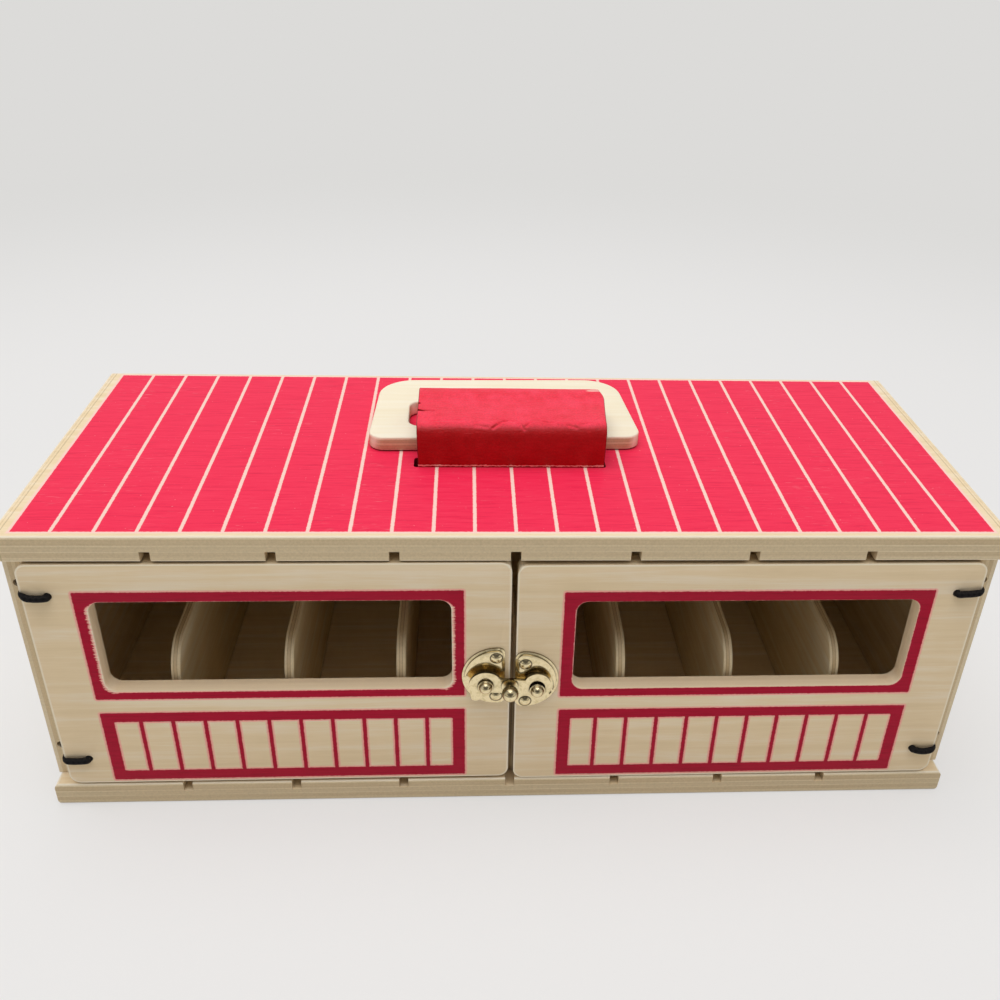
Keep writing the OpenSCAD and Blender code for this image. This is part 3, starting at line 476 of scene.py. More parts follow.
def door_ink(side):
    """The print of one door, about the middle of its width, x = side * 77.65 mm."""
    def ink(tree, mm, facing, body):
        """A frame 122.8 mm x 43.3 mm round the window; below it a frame 122.8 mm x 30.4 mm, 4.2 mm wide,
        with ten bars 1.4 mm wide, 10.75 mm apart."""
        middle, bar_step, half_bar = side * 77.65, 10.75, 0.7
        noise = edge_noise(tree, mm, 0.16)
        x, _, z = add(tree, "SeparateXYZ", {0: mm}).node.outputs
        frame_out = shaped_box(tree, mm, (middle, 69.35), (61.4, 21.65), 0.5)

        # Round the window the saw tore the veneer, and the ink stops up to 1.7 mm short, in teeth,
        # far more on the left door
        opening = shaped_box(tree, mm, (middle, 69.15), (57.3, 18.15), 4.0)
        fibres = add(tree, "Mapping", {"Vector": mm, "Scale": (1 / 6.0, 1.0, 1 / 0.45)})
        teeth = add(tree, "TexNoise", {"Vector": fibres, "Scale": 1.0, "Detail": 2.0, "Roughness": 0.7})
        least, most, straight = (0.6, 1.7, 0.4) if side < 0 else (0.1, 0.35, 0.12)
        torn = add(tree, "MapRange", {0: teeth, 1: 0.35, 2: 0.75, 3: least, 4: most})
        half_window = 57.0
        from_centre = add(tree, "Math", {0: x, 1: middle}, operation="SUBTRACT")
        end_on = add(tree, "MapRange", {0: from_centre, 1: -half_window, 2: half_window, 3: -1.0, 4: 1.0})
        at_ends = add(tree, "MapRange", {0: add(tree, "Math", {0: end_on}, operation="ABSOLUTE"),
                                         1: 0.93, 2: 0.97})
        bare = add(tree, "Mix", {0: at_ends, 2: straight, 3: torn}, out=0)
        under_top = add(tree, "MapRange", {0: z, 1: 84.5, 2: 87.0, 3: 1.0, 4: 0.15})
        bare = add(tree, "Math", {0: bare, 1: under_top}, operation="MULTIPLY")
        bare_rim = add(tree, "Math", {0: bare, 1: opening}, operation="SUBTRACT")
        window = add(tree, "Math", {0: frame_out, 1: bare_rim}, operation="MAXIMUM")
        panel_out = shaped_box(tree, mm, (middle, 26.6), (61.4, 15.2), 0.5)
        panel_in = shaped_box(tree, mm, (middle, 26.7), (57.2, 11.1), 0.5)
        from_middle = add(tree, "Math", {0: x, 1: middle + bar_step / 2}, operation="SUBTRACT")
        to_bar = add(tree, "Math", {0: from_middle, 1: bar_step / 2}, operation="PINGPONG")
        bar = add(tree, "Math", {0: to_bar, 1: half_bar}, operation="SUBTRACT")
        clear = add(tree, "Math", {0: 0.0, 1: panel_in}, operation="SUBTRACT")
        barred = add(tree, "Math", {0: clear, 1: bar}, operation="MINIMUM")
        panel = add(tree, "Math", {0: panel_out, 1: barred}, operation="MAXIMUM")
        red = add(tree, "Math", {0: window, 1: panel}, operation="MINIMUM")
        ragged = add(tree, "Math", {0: red, 1: noise}, operation="ADD")
        front = add(tree, "MapRange", {0: facing[1], 1: -0.97, 2: -0.9, 3: 1.0, 4: 0.0})

        # A pale line along the door's rim and the window's: a painted highlight where the round arris catches
        # the light
        outline = shaped_box(tree, mm, (middle, 55.8), (76.69, 45.59), 3.7)
        rim_highlight = add(tree, "MapRange", {0: outline, 1: -0.7, 2: -0.3, 3: 0.0, 4: 0.8})
        window_rim_highlight = add(tree, "MapRange", {0: opening, 1: 0.3, 2: 0.55, 3: 0.6, 4: 0.0})
        pale = add(tree, "Math", {0: rim_highlight, 1: window_rim_highlight}, operation="MAXIMUM")
        pale = add(tree, "Math", {0: pale, 1: front}, operation="MULTIPLY")
        body = add(tree, "Mix", {0: pale, 6: body, 7: "#FFF4DE"}, out=2, data_type="RGBA")

        # The window's cut faces show hardly a ply and are painted pale: partly their own tone, partly painted
        # light that stands in for the light falling on the sill
        to_cut = add(tree, "Math", {0: add(tree, "Math", {0: opening}, operation="ABSOLUTE"), 1: 0.5},
                     operation="LESS_THAN")
        not_front = add(tree, "MapRange", {0: front, 1: 0.0, 2: 1.0, 3: 0.75, 4: 0.0})
        lit_cut_face = add(tree, "Math", {0: to_cut, 1: not_front}, operation="MULTIPLY")
        body = add(tree, "Mix", {0: lit_cut_face, 6: body, 7: "#FFE6C4"}, out=2, data_type="RGBA")
        tone = ink_tone(tree, mm, "#9A0528", "#B0092F", "#BC0F36")
        return printed(tree, body, tone, ragged, front, "#FFACA4", 0.6)
    return ink


finish_with(plywood("Birch plywood 9 mm, red printed top", "Z", 9.3, 7, "X", nine_mm, low=102.3,
                    ink=roof_ink), "roof_board")
for side, name in ((-1, "door_left"), (1, "door_right")):
    finish_with(plywood("Birch plywood 6 mm, screen-printed " + name, "Y", 6.0, 5, "X", six_mm,
                        low=-64.0, ink=door_ink(side), lean=(np.radians(0.19), side * 154.35, 55.8)),
                name)
five_mm = [(0.0, "#EBCFAC"), (0.2, "#CFA27C"), (0.42, "#E8CCA8"), (0.6, "#C99C78"), (0.8, "#F6E6C6")]
finish_with(plywood("Birch plywood 5 mm, sanded handle", "Z", 5.3, 5, "X", five_mm, low=111.8,
                    face=("#F8EBCD", "#FBF0D6", "#FDF4DE"), glue_line=0.5), "handle_plate")
print("printed: roof, two doors")

# %% [markdown]
# ## Edges that catch the light
# Sanding rounds every edge of plywood by about half a millimetre, and that narrow round is the bright
# line that outlines each board. A bevel node in the shader would fake it, but not in an exported
# model, so a Bevel modifier cuts it for real. The CAD meshes are loose triangles, so a Weld modifier
# joins their corners first, and a Decimate modifier turns flat groups of them into whole faces.

# %% Rounded edges on the wooden parts
def round_edges(radius, *names, segments=3, whole=True):
    """Welds a CAD node's triangles and rounds every edge sharper than 35 degrees, radius in mm. whole
    first joins the triangles of each flat face, for boards; pressed sheet is left in triangles."""
    for name in names:
        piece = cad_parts[name]
        weld = piece.modifiers.new("weld", "WELD")
        weld.merge_threshold = 1e-6
        if whole:
            flat = piece.modifiers.new("whole faces", "DECIMATE")
            flat.decimate_type, flat.angle_limit = "DISSOLVE", np.radians(1)
        bevel = piece.modifiers.new("sanded edge", "BEVEL")
        bevel.width, bevel.segments = radius / 1000, segments
        bevel.limit_method, bevel.angle_limit = "ANGLE", np.radians(35)
        bevel.harden_normals, bevel.use_clamp_overlap = whole, not whole
        piece.data.shade_smooth()


round_edges(0.7, "handle_plate")
round_edges(0.7, "door_left", "door_right", whole=False)
round_edges(0.35, *["divider_%d" % (i + 1) for i in range(7)])
print("rounded 10 wooden parts")

# %% [markdown]
# ## The brass latch
# Latch plates like these are pressed from thin steel and plated with brass. Plating follows every
# small dent of the press, and it is polished, so the eye sees a pale gold with dark, broken
# reflections. A metal has no colour of its own but tints what it mirrors, so the shader is fully
# metallic, with a small roughness and a gentle unevenness of about 2 mm.

# %% Brass and steel
def plated_metal(name, colour, worn, tarnish_and_shade_tone, roughness, dents, heads=()):
    """A plated sheet: its colour, a duller tone in spots of 1.5 mm, and a dark brown tone: in corners
    closer than 1.6 mm partly real tarnished residue and partly painted shade, on steep flanks a painted
    dark reflection, and dents in mm. heads are places across and up and radii, in mm, of nail heads,
    each with painted shade in the gap round it."""
    material, tree = new_material(name)
    mm = add(tree, "VectorMath", {0: add(tree, "TexCoord", out=3), 1: MM_PER_M},
             operation="MULTIPLY")
    spots = add(tree, "TexNoise", {"Vector": mm, "Scale": 1 / 1.5, "Detail": 4.0, "Roughness": 0.6})
    tone = add(tree, "ValToRGB", {0: spots}, ramp=[(0.30, worn), (0.52, colour)])
    # Dark brown in tight corners, partly tarnish and partly painted shade, and on steep flanks, a painted
    # reflection of dark surroundings
    shut_in = add(tree, "AmbientOcclusion", {"Distance": 0.0016}, out=1, samples=8)
    tarnish_and_shade = add(tree, "MapRange", {0: shut_in, 1: 0.35, 2: 0.92, 3: 0.95, 4: 0.0})
    frontal = add(tree, "SeparateXYZ", {0: add(tree, "TexCoord", out=1)}, out=1)
    frontal = add(tree, "Math", {0: frontal}, operation="ABSOLUTE")
    flank_reflection = add(tree, "MapRange", {0: frontal, 1: 0.45, 2: 0.85, 3: 0.72, 4: 0.0})
    tarnish_and_shade = add(tree, "Math", {0: tarnish_and_shade, 1: flank_reflection}, operation="MAXIMUM")
    # A dark ring round each nail head: painted shade in the gap
    for x, z, radius in heads:
        beside = add(tree, "VectorMath", {0: mm, 1: (x, 0, z)}, operation="SUBTRACT")
        beside = add(tree, "VectorMath", {0: beside, 1: (1, 0, 1)}, operation="MULTIPLY")
        away = add(tree, "VectorMath", {0: beside}, out=1, operation="LENGTH")
        gap = add(tree, "Math", {0: away, 1: radius}, operation="SUBTRACT")
        gap = add(tree, "Math", {0: gap}, operation="ABSOLUTE")
        ring = add(tree, "MapRange", {0: gap, 1: 0.1, 2: 0.3, 3: 0.85, 4: 0.0})
        tarnish_and_shade = add(tree, "Math", {0: tarnish_and_shade, 1: ring}, operation="MAXIMUM")
    tone = add(tree, "Mix", {0: tarnish_and_shade, 6: tone, 7: tarnish_and_shade_tone}, out=2, data_type="RGBA")
    rough = add(tree, "MapRange", {0: spots, 1: 0.3, 2: 0.7, 3: roughness + 0.08, 4: roughness})
    uneven = add(tree, "TexNoise", {"Vector": mm, "Scale": 1 / 2.2, "Detail": 2.0})
    bump = add(tree, "Bump", {"Strength": 0.5, "Distance": dents / 1000, "Height": uneven})
    shader = add(tree, "BsdfPrincipled", {"Base Color": tone, "Metallic": 1.0, "Roughness": rough,
                                          "Normal": bump})
    tree.links.new(shader, tree.nodes.new("ShaderNodeOutputMaterial").inputs[0])
    return material


def head_places(name):
    """The two nail heads of a node, parted at the middle of its height: centre across and up, and radius,
    in mm."""
    corners = np.zeros(len(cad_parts[name].data.vertices) * 3)
    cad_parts[name].data.vertices.foreach_get("co", corners)
    corners = corners.reshape(-1, 3) * 1000
    cut = (corners[:, 2].min() + corners[:, 2].max()) / 2
    places = []
    for one in (corners[corners[:, 2] > cut], corners[corners[:, 2] < cut]):
        low, high = one.min(axis=0), one.max(axis=0)
        places.append(((low[0] + high[0]) / 2, (low[2] + high[2]) / 2, (high[0] - low[0]) / 2))
    return places


nail_heads = head_places("latch_nails_left") + head_places("latch_nails_right")
print("nail heads:", np.round(nail_heads, 2).tolist())
brass = plated_metal("Brass-plated pressed steel", "#F0DFB4", "#D8C595", "#2A1C0C",
                     roughness=0.15, dents=0.016, heads=nail_heads)
finish_with(brass, "latch_plate_left", "latch_plate_right", "latch_arm", "latch_knob",
            "latch_nails_left", "latch_nails_right")
finish_with(plated_metal("Galvanised steel wire", "#B9BABD", "#A3A5A8", "#4A4642",
                         roughness=0.32, dents=0.02), "strap_staples")
round_edges(0.14, "latch_plate_left", "latch_plate_right", segments=2, whole=False)
round_edges(0.25, "latch_arm", whole=False)
print("brass on 6 parts")

# %% [markdown]
# ## The rivet and the catch post
# Both end in a turned head: a flat collar, and a ball that nearly fills it. A lathe makes them from one
# profile, and so does this: the profile is a list of radii and heights, and every point of it runs
# round a circle. The CAD gives the place of each; the length is written out, and the CAD's front is
# printed beside the made one.

# %% Two turned heads
def turned(name, profile, centre, sides=64):
    """A profile of (radius, y) in mm carried round the axis along Y through centre, (x, z) in metres:
    x = cx + r cos a, z = cz + r sin a."""
    profile = np.asarray(profile, float) / 1000
    a = np.linspace(0, 2 * np.pi, sides, endpoint=False)
    radius, y = profile[:, :1], np.repeat(profile[:, 1:], sides, axis=1)
    ring = np.stack([centre[0] + radius * np.cos(a), y, centre[1] + radius * np.sin(a)], axis=-1)
    return surface(name, ring, wrap=True, closed_ends=True)


# y in mm of the plane where both heads begin, and the ball's radius and how deep it sits in its collar
face, ball_radius, sunk = -67.42, 2.32, 0.25
for name, node, body, shaft, collar in (
        ("turned_rivet", "latch_pivot_rivet", "door_left_body", 1.5, (2.6, 0.75)),
        ("turned_post", "latch_catch_post", "door_right_body", 2.5, (2.65, 0.55))):
    low, high = (np.array(corner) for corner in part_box(node))
    rise = np.radians(np.linspace(8, 89, 16))
    ball = np.column_stack([ball_radius * np.cos(rise),
                            face - collar[1] + sunk - ball_radius * np.sin(rise)])
    profile = [(shaft, -64.0), (shaft, face + 0.02), (collar[0] - 0.08, face), (collar[0], face - 0.08),
               (collar[0], face - collar[1] + 0.1), (collar[0] - 0.1, face - collar[1]),
               (ball_radius + 0.1, face - collar[1])]
    head = turned(name, np.vstack([profile, ball]), ((low[0] + high[0]) / 2, (low[2] + high[2]) / 2))
    head.data.materials.append(brass)
    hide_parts(node)
    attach(head, body)
    print(name, len(head.data.polygons), "faces, CAD front", round(float(low[1]) * 1000, 2),
          "mm, made", round(float(ball[-1, 1]), 2), "mm")

# %% [markdown]
# ## The strap
# A strip of red vinyl, 65 mm wide and 1.8 mm thick, comes up through one slot of the roof, bends over
# the handle's front bar and goes down through the other slot, with both tails turned in below. Vinyl
# keeps the memory of its packing: it is pinched along the bends, wavy on its faces and nicked at one
# edge. Cloth simulation would give other folds each time, and the real ones are in known places, so
# the strip is one cross-section carried along its path, and the folds are added as soft dents.

# %% The strap's path and its folds
def round_the_corner(centre, radius, start, stop, count):
    """Points of an arc in the plane of Y and Z: centre + radius * (cos a, sin a)."""
    a = np.radians(np.linspace(start, stop, count))
    return np.column_stack([centre[0] + radius * np.cos(a), centre[1] + radius * np.sin(a)])


def evenly(path, spacing):
    """The same path with points at equal steps of its length, with the length at each."""
    run = np.r_[0, np.cumsum(np.linalg.norm(np.diff(path, axis=0), axis=1))]
    at = np.linspace(0, run[-1], int(run[-1] / spacing) + 1)
    return np.column_stack([np.interp(at, run, path[:, k]) for k in range(path.shape[1])]), at


front_y, back_y, top_z, tail_z, bend, tail, thick = -17.6, 16.5, 127.0, 100.5, 4.0, 16.0, 1.8
outline = np.vstack([
    [(front_y + tail, tail_z)],
    round_the_corner((front_y + bend, tail_z + bend), bend, 270, 180, 24),
    round_the_corner((front_y + bend, top_z - bend), bend, 180, 90, 24),
    round_the_corner((back_y - bend, top_z - bend), bend, 90, 0, 24),
    round_the_corner((back_y - bend, tail_z + bend), bend, 0, -90, 24),
    [(back_y - tail, tail_z)]])
path, along = evenly(outline, 0.4)

# The cross-section runs over the outer side, round the right edge, back under the inner side and round
# the left edge. ring_s is -1 to 1 from edge to edge, ring_ds how far a point of a round edge lies past
# it in mm, and ring_n its height above the outer side. rim is the radius of the round edges.
columns = 151
rim = 0.45
ring_s = np.r_[np.linspace(-1, 1, columns), np.ones(8), np.linspace(1, -1, columns), -np.ones(8)]
turn = np.radians([67.5, 45, 22.5, 0])
ring_ds = np.r_[np.zeros(columns), rim * np.cos(turn), rim * np.cos(turn[::-1]), np.zeros(columns),
                -rim * np.cos(turn), -rim * np.cos(turn[::-1])]
ring_n = np.r_[np.zeros(columns), -rim + rim * np.sin(turn), -thick + rim - rim * np.sin(turn[::-1]),
               np.full(columns, -thick), -thick + rim - rim * np.sin(turn),
               -rim + rim * np.sin(turn[::-1])]


def soft_spot(s, t, at, size):
    """A round bump of height 1: exp(-((s - s0) / a)^2 - ((t - t0) / b)^2)."""
    return np.exp(-((s - at[0]) / size[0]) ** 2 - ((t - at[1]) / size[1]) ** 2)


def crease(s, t, start, stop, width):
    """A groove of depth 1 along a line: with the nearest point q of the line, exp(-(|p - q| / width)^2)."""
    line = np.subtract(stop, start)
    share = np.clip(((s - start[0]) * line[0] + (t - start[1]) * line[1]) / (line @ line), 0, 1)
    return np.exp(-((s - start[0] - share * line[0]) ** 2 + (t - start[1] - share * line[1]) ** 2)
                  / width ** 2)


# Places on the strap are (s, run): s mm to the right of its middle and run mm along its outer side from
# the front tail's end. It leaves the roof at run 25, bends from 37 to 43, lies over the handle up to 69
# and enters the roof again at 87.
# The edges: wider towards the top, cut in at the left edge, the rear right corner rounded off
run = along[:, None]
left = -32.6 - 0.35 * np.clip((run - 28) / 16, 0, 1) + rim
right = (32.4 + 0.3 * np.clip((run - 28) / 14, 0, 1) + 1.3 * np.clip((run - 44) / 18, 0, 1)
         - 2.4 * np.clip((run - 62) / 9, 0, 1) ** 2 - rim)
s = (left + right) / 2 + ring_s[None, :] * (right - left) / 2
for cut_at, cut_deep in ((52.0, 2.8), (57.6, 1.2)):
    nick = cut_deep * np.clip(1 - np.abs(run - cut_at) / 0.7, 0, 1)
    s = s + nick * np.clip(1 - (s - left) / 8, 0, 1)
s = s + ring_ds[None, :] + 0.2

# The faces: legs that belly out, a top that sags, creases where the vinyl was pinched over the bend
front_leg, top_face, back_leg = (np.exp(-((run - c) / w) ** 4) for c, w in ((31, 7), (56, 15), (82, 9)))
swell = 0.5 * front_leg * (1 - (s / 60) ** 2) + 0.35 * back_leg * (1 - (s / 34) ** 2)
swell = swell + 0.3 * top_face + 0.9 * np.exp(-((run - 68) / 6) ** 2)
swell = swell + 0.10 * np.sin(s / 6.3 + run / 9) * top_face
swell = swell + 0.06 * np.sin(s / 3.1 - run / 4.2 + 1.0) * front_leg
swell = swell + 0.35 * soft_spot(s, run, (31, 46), (4.0, 6.0))
swell = swell - 0.3 * soft_spot(s, run, (-30, 44), (5.0, 3.0))
creases = (
    ((-6.4, 40.2), (-1.9, 44.2), 0.5, 0.42), ((-1.9, 44.2), (0.6, 43.4), 0.45, 0.3),
    ((2.4, 42.3), (4.4, 39.6), 0.45, 0.36), ((6.8, 43.0), (4.9, 40.9), 0.45, 0.34),
    ((10.9, 43.2), (14.4, 42.8), 0.5, 0.38), ((-27.5, 43.6), (-16.5, 44.0), 0.6, 0.2),
    ((19.5, 41.4), (22.4, 40.4), 0.5, 0.25), ((-12.5, 41.2), (-8.6, 40.5), 0.6, 0.2),
    ((24.6, 41.8), (27.4, 42.6), 0.5, 0.22), ((-32.4, 52.0), (-27.4, 51.4), 0.45, 0.8))
for start, stop, width, depth in creases:
    swell = swell - depth * crease(s, run, start, stop, width)
curl = 0.6 * soft_spot(s, run, (31.0, 68.3), (3.0, 0.45))

# Inside the roof the strap stays flat: the swell sets in over 1 mm where it leaves the slots
in_roof = 25.6
above_roof = np.clip(np.minimum(run, along[-1] - run) - in_roof, 0, 1)

# The inner side bellies out with the outer one but has no creases, so that the handle turns freely
bulge = np.where(ring_n[None, :] < -thick / 2, np.maximum(swell, 0), swell + curl)
n = ring_n[None, :] + bulge * above_roof

way = np.gradient(path, axis=0)
way /= np.linalg.norm(way, axis=1)[:, None]
outward = np.column_stack([-way[:, 1], way[:, 0]])
points = np.stack([s, path[:, :1] + n * outward[:, :1], path[:, 1:] + n * outward[:, 1:]], axis=-1)
strap = surface("vinyl_strap", points / 1000, wrap=True, closed_ends=True)
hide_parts("handle_strap")
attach(strap, "cabinet")
print("strap", round(float(along[-1]), 1), "mm long on its outer side,", len(strap.data.polygons), "faces")

# %% [markdown]
# ## Vinyl
# Strap vinyl is PVC cast on a release paper: a smooth skin with a faint leather grain, glossy when new
# and half dull after years of hands. The gloss breaks where the sheet was creased. Faces that look up
# are painted a lighter red, a painted highlight from the light above, and the legs a darker red,
# painted shade.

# %% Red vinyl
vinyl, tree = new_material("Cast PVC sheet, glossy red")
mm = add(tree, "VectorMath", {0: add(tree, "TexCoord", out=3), 1: MM_PER_M},
         operation="MULTIPLY")
x, y, z = add(tree, "SeparateXYZ", {0: mm}).node.outputs
mottle = add(tree, "TexNoise", {"Vector": mm, "Scale": 1 / 5.0, "Detail": 4.0, "Roughness": 0.6})
# Painted light: the legs get a darker red as painted shade, the faces that look up a lighter red
shaded_legs = add(tree, "ValToRGB", {0: mottle}, ramp=[(0.35, "#A90A10"), (0.5, "#B00B12"), (0.68, "#B80F18")])
lit_top = add(tree, "ValToRGB", {0: mottle},
                 ramp=[(0.35, "#F22C44"), (0.5, "#FA3650"), (0.68, "#FE425C")])
up = add(tree, "SeparateXYZ", {0: add(tree, "TexCoord", out=1)}, out=2)
lit_from_above = add(tree, "MapRange", {0: up, 1: 0.6, 2: 1.0}, interpolation_type="SMOOTHSTEP")
tone = add(tree, "Mix", {0: lit_from_above, 6: shaded_legs, 7: lit_top}, out=2, data_type="RGBA")
fine = add(tree, "TexNoise", {"Vector": mm, "Scale": 1.5, "Detail": 4.0, "Roughness": 0.7})
grainy = add(tree, "MapRange", {0: fine, 1: 0.32, 2: 0.68, 3: 0.86, 4: 1.08})
tone = add(tree, "Mix", {0: 1.0, 6: tone, 7: grainy}, out=2, data_type="RGBA", blend_type="MULTIPLY")

# The pale cut of the sheet was darkened along both edges, and the bend is crackled with fine lines
sideways = add(tree, "Math", {0: add(tree, "SeparateXYZ", {0: add(tree, "TexCoord", out=1)})},
               operation="ABSOLUTE")
cut_edge = add(tree, "MapRange", {0: sideways, 1: 0.3, 2: 0.8, 3: 0.0, 4: 0.8})
tone = add(tree, "Mix", {0: cut_edge, 6: tone, 7: "#5C0A12"}, out=2, data_type="RGBA")
bent = add(tree, "TexNoise", {"Vector": mm, "Scale": 0.8, "Detail": 3.0, "Distortion": 1.2})
wandering = add(tree, "MapRange", {0: bent, 1: 0.46, 2: 0.54})
thin_line = add(tree, "Math", {0: add(tree, "Math", {0: wandering, 1: 0.5}, operation="SUBTRACT")},
                operation="ABSOLUTE")
crackled = add(tree, "MapRange", {0: thin_line, 1: 0.0, 2: 0.3, 3: 0.5, 4: 0.0})
on_bend = add(tree, "Math", {0: lit_from_above, 1: 0.5, 2: 0.46}, operation="COMPARE")
on_bend = add(tree, "Math", {0: on_bend, 1: crackled}, operation="MULTIPLY")
tone = add(tree, "Mix", {0: on_bend, 6: tone, 7: "#8C0A16"}, out=2, data_type="RGBA")

# Where it leaves the slot, the skin is rubbed pale along a thin, ragged line; so is the curled sliver
frayed = add(tree, "TexNoise", {"Vector": mm, "Scale": 1.1, "Detail": 3.0})
low_line = add(tree, "Math", {0: frayed, 1: 1.1, 2: z}, operation="MULTIPLY_ADD")
rubbed = add(tree, "Math", {0: low_line, 1: 112.85, 2: 0.28}, operation="COMPARE")
sliver = add(tree, "VectorMath", {0: add(tree, "VectorMath", {0: mm, 1: (31.2, 11.2, 127.9)},
                                         operation="SUBTRACT"),
                                  1: (0.28, 1.6, 0.4)}, operation="MULTIPLY")
torn = add(tree, "VectorMath", {0: sliver}, out=1, operation="LENGTH")
torn = add(tree, "MapRange", {0: torn, 1: 0.7, 2: 1.0, 3: 0.8, 4: 0.0})
pale_skin = add(tree, "Math", {0: rubbed, 1: torn}, operation="MAXIMUM")
tone = add(tree, "Mix", {0: pale_skin, 6: tone, 7: "#FFC4BA"}, out=2, data_type="RGBA")

# Leather grain of 0.5 mm, and fine wrinkles 6 mm long and 0.8 mm apart across the strap
cells_per_mm = 1.9
cells = add(tree, "TexVoronoi", {"Vector": mm, "Scale": cells_per_mm, "Randomness": 1.0})
stretched = add(tree, "Mapping", {"Vector": mm, "Scale": (0.16, 1.2, 1.2)})
lines = add(tree, "TexNoise", {"Vector": stretched, "Scale": 1.0, "Detail": 3.0, "Distortion": 0.8})
skin = add(tree, "Math", {0: cells, 1: 0.45, 2: lines}, operation="MULTIPLY_ADD")
rough = add(tree, "MapRange", {0: mottle, 1: 0.35, 2: 0.65, 3: 0.4, 4: 0.48})
bump = add(tree, "Bump", {"Strength": 0.9, "Distance": 0.0002, "Height": skin})
shader = add(tree, "BsdfPrincipled", {"Base Color": tone, "Roughness": rough, "Normal": bump,
                                      "Specular IOR Level": 0.2})
tree.links.new(shader, tree.nodes.new("ShaderNodeOutputMaterial").inputs[0])
strap.data.materials.append(vinyl)
print("vinyl grain of", round(1 / cells_per_mm, 2), "mm")

# %% [markdown]
# ## The hinge cords
# Each door hangs on two short elastic cords instead of hinges. A cord is knotted behind the door, comes
# out through a hole, crosses the door's face to its outer edge and disappears in a hole in the wall's
# front edge. A curve object with a bevel would be quick, but its surface has no place for a braid, so
# each cord is a circle carried along a smooth path, with its length and its turn as UV coordinates.

# %% Cords along their paths
def smooth_path(knots, per_span=8):
    """A Catmull-Rom curve through the points: each span is the cubic whose end slopes are half the step
    between the neighbours."""
    p = np.vstack([2 * knots[0] - knots[1], knots, 2 * knots[-1] - knots[-2]])
    t = np.linspace(0, 1, per_span, endpoint=False)[None, :, None]
    a, b, c, d = (p[i:len(p) - 3 + i, None, :] for i in range(4))
    curve = 0.5 * (2 * b + (c - a) * t + (2 * a - 5 * b + 4 * c - d) * t ** 2
                   + (3 * b - a - 3 * c + d) * t ** 3)
    return np.vstack([curve.reshape(-1, 3), knots[-1:]])


def tube(name, knots, radius, beside, sides=20, per_span=8):
    """A circle of the radius, in mm, carried along the smooth path. beside is a direction that the path
    never runs in; it fixes where the circle starts."""
    centre = smooth_path(np.array(knots, float), per_span)
    thick = np.broadcast_to(np.asarray(radius, float), (len(knots),))
    grown = np.interp(np.linspace(0, 1, len(centre)), np.linspace(0, 1, len(knots)), thick)
    way = np.gradient(centre, axis=0)
    way /= np.linalg.norm(way, axis=1)[:, None]
    first = np.asarray(beside, float) - (way @ beside)[:, None] * way
    first /= np.linalg.norm(first, axis=1)[:, None]
    second = np.cross(way, first)
    a = np.linspace(0, 2 * np.pi, sides, endpoint=False)[None, :, None]
    ring = centre[:, None] + grown[:, None, None] * (np.cos(a) * first[:, None] + np.sin(a) * second[:, None])
    length = np.r_[0, np.cumsum(np.linalg.norm(np.diff(centre, axis=0), axis=1))]
    uv = np.stack(np.broadcast_arrays(np.abs(a[..., 0] / np.pi - 1), length[:, None]), axis=-1)
    return surface(name, ring / 1000, wrap=True, closed_ends=True, uv=uv)


# The route of a right-hand cord from its knot to its hole in the wall: across, to the back, and its
# radius, all in mm. It is pulled thin round the door's edge. The hole in the wall lies in_wall mm above
# the door's. Each of the shapes gives a side, the height of the door's hole, and at some places across
# how far the cord lies above that hole.
hole_x, wall_hole_x, in_wall = 146.2, 157.5, 1.0
route = np.array([
    (hole_x, -51.0, 1.15), (hole_x, -54.0, 1.15), (hole_x, -57.9, 1.15), (hole_x, -64.2, 1.15),
    (146.7, -65.1, 1.15), (148.0, -65.4, 1.15), (150.2, -65.5, 1.15), (152.2, -65.5, 1.15),
    (153.1, -65.35, 1.05), (153.85, -65.0, 0.75), (154.4, -64.45, 0.42), (154.75, -63.6, 0.32),
    (154.85, -62.2, 0.34), (155.1, -60.6, 0.6), (155.8, -59.2, 0.7), (156.7, -57.9, 0.55),
    (156.9, -52.7, 0.7), (wall_hole_x, -48.0, 1.15)])
shapes = {
    "left_top": (-1, 89.7, ((147.1, 0), (149.1, 0), (150.8, 0.1), (152.1, 0.3), (153, 0.9), (154, 1.5))),
    "right_top": (1, 89.7, ((146.6, 0.1), (147.7, 0.4), (150.4, 0.6), (153, 1.0), (154.3, 1.7))),
    "left_bottom": (-1, 21.5, ((146.4, 0), (147.7, 0.1), (149.9, 0.1), (152, 0.2), (153.8, 0.4))),
    "right_bottom": (1, 21.5, ((146.4, 0), (146.8, 0), (149.6, -0.6), (152.5, 0), (154.4, 0.9)))}
cords = []
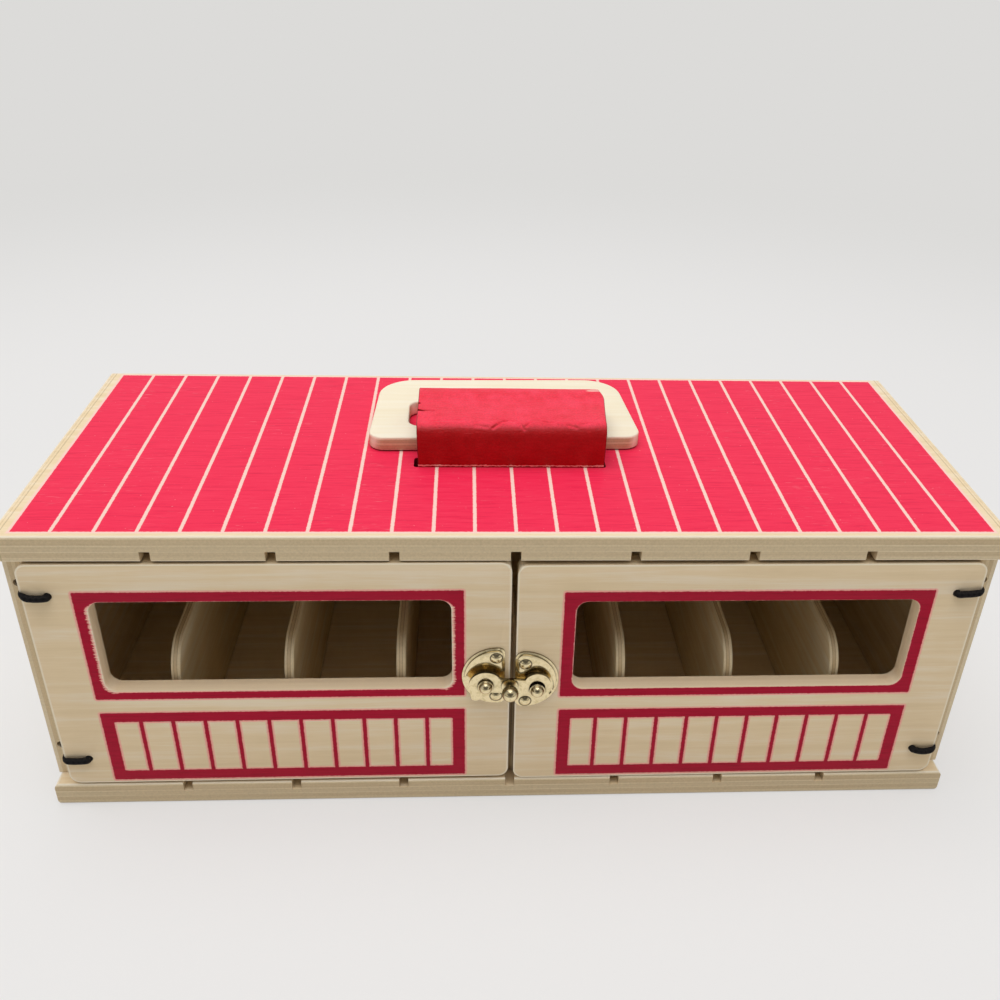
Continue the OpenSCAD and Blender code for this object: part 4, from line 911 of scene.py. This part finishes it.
for place, (side, height_of, dips) in shapes.items():
    dip_x, dip_z = np.transpose(dips + ((157.0, in_wall),))
    knots = np.column_stack([side * route[:, 0], route[:, 1],
                             height_of + np.interp(route[:, 0], dip_x, dip_z)])
    cord = tube("elastic_cord_" + place, knots, route[:, 2], (0, 0, 1.0))
    coil, coil_radius = np.radians(np.linspace(0, 560, 16)), 1.55
    wound = np.column_stack([side * (hole_x + coil_radius * np.cos(coil)), np.linspace(-56.6, -54.4, 16),
                             height_of + coil_radius * np.sin(coil)])
    knot = tube("cord_knot_" + place, wound, 1.05, (0, 1.0, 0))
    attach(knot, "door_" + place.split("_")[0] + "_body")
    cords += [cord, knot]
print("cords and knots:", [c.name for c in cords])

# %% [markdown]
# ## Braided elastic
# The cords are rubber threads in a braided cover of black polyester. The cover is two sets of threads
# that cross, one winding left and one right, so the bump is the larger of two sets of slanted waves on
# the cord's own UV: one turn across and its length in millimetres along. Real braid has about ten
# crossings round such a cord; eight are drawn, so that they still show in a picture.

# %% Cord material
braid, tree = new_material("Braided black elastic cord")
on_cord = add(tree, "UVMap", uv_map="UVMap")
u, v, _ = add(tree, "SeparateXYZ", {0: on_cord}).node.outputs
turns = add(tree, "Math", {0: u, 1: 4.0 * np.pi}, operation="MULTIPLY")
waves = []
for way_round in (1.0, -1.0):
    slant = add(tree, "Math", {0: v, 1: way_round * 3.6, 2: turns}, operation="MULTIPLY_ADD")
    waves.append(add(tree, "Math", {0: slant}, operation="SINE"))
crossing = add(tree, "Math", {0: waves[0], 1: waves[1]}, operation="MAXIMUM")
thread = add(tree, "MapRange", {0: crossing, 1: -0.6, 2: 1.0})
sheen = add(tree, "ValToRGB", {0: thread}, ramp=[(0.1, "#030203"), (0.9, "#120F10")])
bump = add(tree, "Bump", {"Strength": 0.6, "Distance": 0.0002, "Height": thread})
shader = add(tree, "BsdfPrincipled", {"Base Color": sheen, "Roughness": 0.7, "Normal": bump,
                                      "Specular IOR Level": 0.2})
tree.links.new(shader, tree.nodes.new("ShaderNodeOutputMaterial").inputs[0])
for piece in cords:
    piece.data.materials.append(braid)
for place, (side, height_of, _) in shapes.items():
    cord = bpy.data.objects["elastic_cord_" + place]
    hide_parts("hinge_cord_" + place)
    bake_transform(cord)
